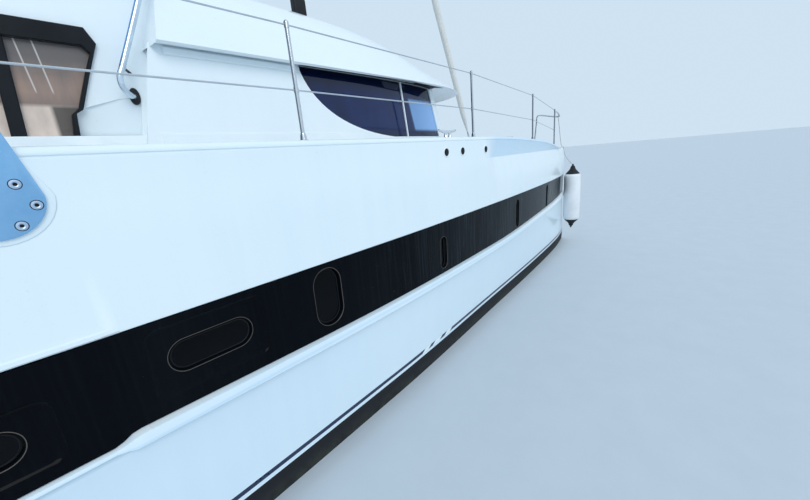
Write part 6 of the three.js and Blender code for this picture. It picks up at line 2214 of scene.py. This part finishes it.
@dataclass
class RigDetails:
    """Sail track, halyards, winches, spreader tips and lamps on the mast, and the boom's end fitting."""

    def publish(self) -> None:
        """Builds the details of mast and boom."""
        draft = Draft("mast_fittings")
        draft.slab(rounded(1.017, 1.034, -0.016, 0.016, 0.004), 6.12, 20.15, PALETTE.steel)
        for y, z in ((-0.094, 4.35), (0.094, 4.75)):
            way = Vector((0, math.copysign(1.0, y), 0))
            foot = Vector((1.2, y - 0.004 * way.y, z))
            draft.turned(foot, foot + way, (
                (0.0, 0.062), (0.02, 0.062), (0.03, 0.046), (0.075, 0.044), (0.085, 0.060), (0.10, 0.060),
                (0.108, 0.046), (0.112, 0.02)), PALETTE.steel, 24)
        for z, finish in ((11.9, PALETTE.rubber), (20.34, PALETTE.fender)):
            draft.turned((1.30, 0, z), (1.30, 0, z + 0.12),
                         ((0.0, 0.035), (0.02, 0.04), (0.08, 0.04), (0.10, 0.02)), finish, 16)
        for side in Side:
            tip = Vector((0.85, side.value * 1.15, 11.28))
            draft.tube([tip - Vector((0.03, 0, 0)), tip + Vector((0.03, 0, 0))], 0.030, PALETTE.rubber, 12)
            for dx, dy in ((0.05, 0.105), (-0.03, 0.108)):
                line = [(1.2 + dx, side.value * dy, 3.50), (1.2 + dx, side.value * (dy - 0.002), 19.9)]
                draft.tube(line, 0.005, PALETTE.rope, 6)
        publish(draft.make(), "aluminium")
        end = Draft("boom_fittings")
        end.slab(rounded(-0.082, 0.082, 5.788, 6.030, 0.055), -4.912, -4.870, PALETTE.rubber,
                 facing_ahead, 0.008)
        for x in (-4.55, -3.2, -1.6, 0.1):
            end.tube([(x, y, z) for y, z in oval(0.092, 0.130, 0.0, 5.91)], 0.006, PALETTE.bag, 6,
                     closed=True)
        publish(end.make(), "aluminium", body="boom")


# Light, floor and view
@dataclass(frozen=True)
class Studio:
    """A pale floor at the waterline, soft light and the view of the photograph."""

    eye: Point = (-0.856, -5.803, 2.042)
    yaw: float = 42.61
    pitch: float = -14.65
    roll: float = -5.08
    lens: float = 15.533
    floor_half: float = 290.0
    sky: Colour = (0.68, 0.83, 0.97)
    sky_strength: float = 0.92
    key_strength: float = 1.15

    def camera(self) -> None:
        """Sets the scene's camera from its eye, angles and lens."""
        yaw, pitch, roll = (math.radians(a) for a in (self.yaw, self.pitch, self.roll))
        ahead = Vector((math.cos(pitch) * math.cos(yaw), math.cos(pitch) * math.sin(yaw), math.sin(pitch)))
        right = ahead.cross(UP).normalized()
        up = right.cross(ahead)
        across = right * math.cos(roll) + up * math.sin(roll)
        upward = up * math.cos(roll) - right * math.sin(roll)
        data = bpy.data.cameras.new("view")
        data.lens = self.lens
        data.sensor_width = 36.0
        data.sensor_fit = "HORIZONTAL"
        data.clip_start = 0.05
        data.clip_end = 600.0
        camera = linked("view", data)
        turn = Matrix((across, upward, -ahead)).transposed()
        camera.matrix_world = Matrix.Translation(Vector(self.eye)) @ turn.to_4x4()
        bpy.context.scene.camera = camera

    def floor(self) -> None:
        """A wide pale floor whose top is the waterline."""
        half = self.floor_half
        draft = Draft("floor")
        draft.slab([(-half, -half), (half, -half), (half, half), (-half, half)], -0.02, 0.0,
                   Painted("floor_pale", (0.58, 0.64, 0.69), (0.54, 0.6, 0.66), 0.55, 3.0))
        draft.make()

    def lights(self) -> None:
        """A soft sky and one broad key light from behind the viewer."""
        world = bpy.data.worlds.new("sky")
        world.use_nodes = True
        sheet = NodeSheet(world.node_tree)
        sky = sheet.node("ShaderNodeBackground", {}, {"Color": self.sky, "Strength": self.sky_strength})
        out = world.node_tree.nodes.new("ShaderNodeOutputWorld")
        world.node_tree.links.new(sky.socket, out.inputs["Surface"])
        bpy.context.scene.world = world
        data = bpy.data.lights.new("key", "SUN")
        data.energy = self.key_strength
        data.angle = math.radians(35.0)
        data.color = (1.0, 0.98, 0.94)
        key = linked("key", data)
        key.rotation_mode = "QUATERNION"
        key.rotation_quaternion = UP.rotation_difference(unit((-0.35, -0.8, 0.62)))

    def build(self) -> None:
        """Sets the whole studio up."""
        self.camera()
        self.floor()
        self.lights()
        bpy.context.scene.view_settings.view_transform = "Standard"


NODE_FINISHES: dict[str, Finish] = {
    "bridgedeck": PALETTE.house, "foredeck": PALETTE.deck, "saloon_house": PALETTE.house,
    "flybridge_roof": PALETTE.house, "hardtop": PALETTE.house, "mast": PALETTE.spar, "boom": PALETTE.spar,
    "mainsail_bag": PALETTE.bag, "furled_headsail": PALETTE.sail, "bowsprit": PALETTE.spar,
    "anchor": PALETTE.steel, "windlass": PALETTE.steel, "forward_cockpit_cushion": PALETTE.cushion,
    "aft_platform": PALETTE.house, "aft_bench": PALETTE.cushion, "swim_ladder": PALETTE.steel,
    "aft_door": PALETTE.frame_black, "aft_door_glass": PALETTE.glass, "galley_counter": PALETTE.inside,
    "saloon_settee": PALETTE.cushion, "saloon_table": PALETTE.teak, "helm_console": PALETTE.house,
    "helm_wheel": PALETTE.steel, "helm_seat": PALETTE.cushion, "flybridge_sofa": PALETTE.cushion,
    "fender": PALETTE.fender, "front_window_centre": PALETTE.glass,
}
SIDE_FINISHES: dict[str, Finish] = {
    "topside_band": PALETTE.band, "keel": PALETTE.bottom, "saildrive": PALETTE.bottom,
    "propeller": PALETTE.bronze, "rudder": PALETTE.bottom, "chainplate": PALETTE.plate,
    "cap_shroud": PALETTE.wire, "guard_rail": PALETTE.stanchion, "grab_rail": PALETTE.sky_rail,
    "cleat_forward": PALETTE.steel, "hatch_lid": PALETTE.glass, "forward_window": PALETTE.glass,
    "aft_window": PALETTE.glass_aft, "locker_lid": PALETTE.deck, "front_window": PALETTE.glass,
}


def dress_nodes() -> None:
    """Gives every frame node its finish; the pieces that follow replace some of them."""
    for node, finish in NODE_FINISHES.items():
        dress(node, finish)
    for kind, finish in SIDE_FINISHES.items():
        for side in Side:
            dress(f"{kind}_{side.label}", finish)


def main() -> None:
    """Builds the scene in order."""
    logging.basicConfig(level=logging.INFO, format="%(name)s: %(message)s")
    Studio().build()
    dress_nodes()
    for side in Side:
        hull = Topsides(side)
        hull.publish()
        DarkBand(side, hull).publish()
        GuardRail(side).publish()
        Hardware(side).publish()
        DeckFittings(side).publish()
        Propeller(side).publish()
    SaloonHouse().publish()
    Flybridge().publish()
    Fender().publish()
    BowGear().publish()
    AftDetails().publish()
    Helm().publish()
    RigDetails().publish()
    SailGoods().publish()
    furnish()


if __name__ == "__main__":
    main()
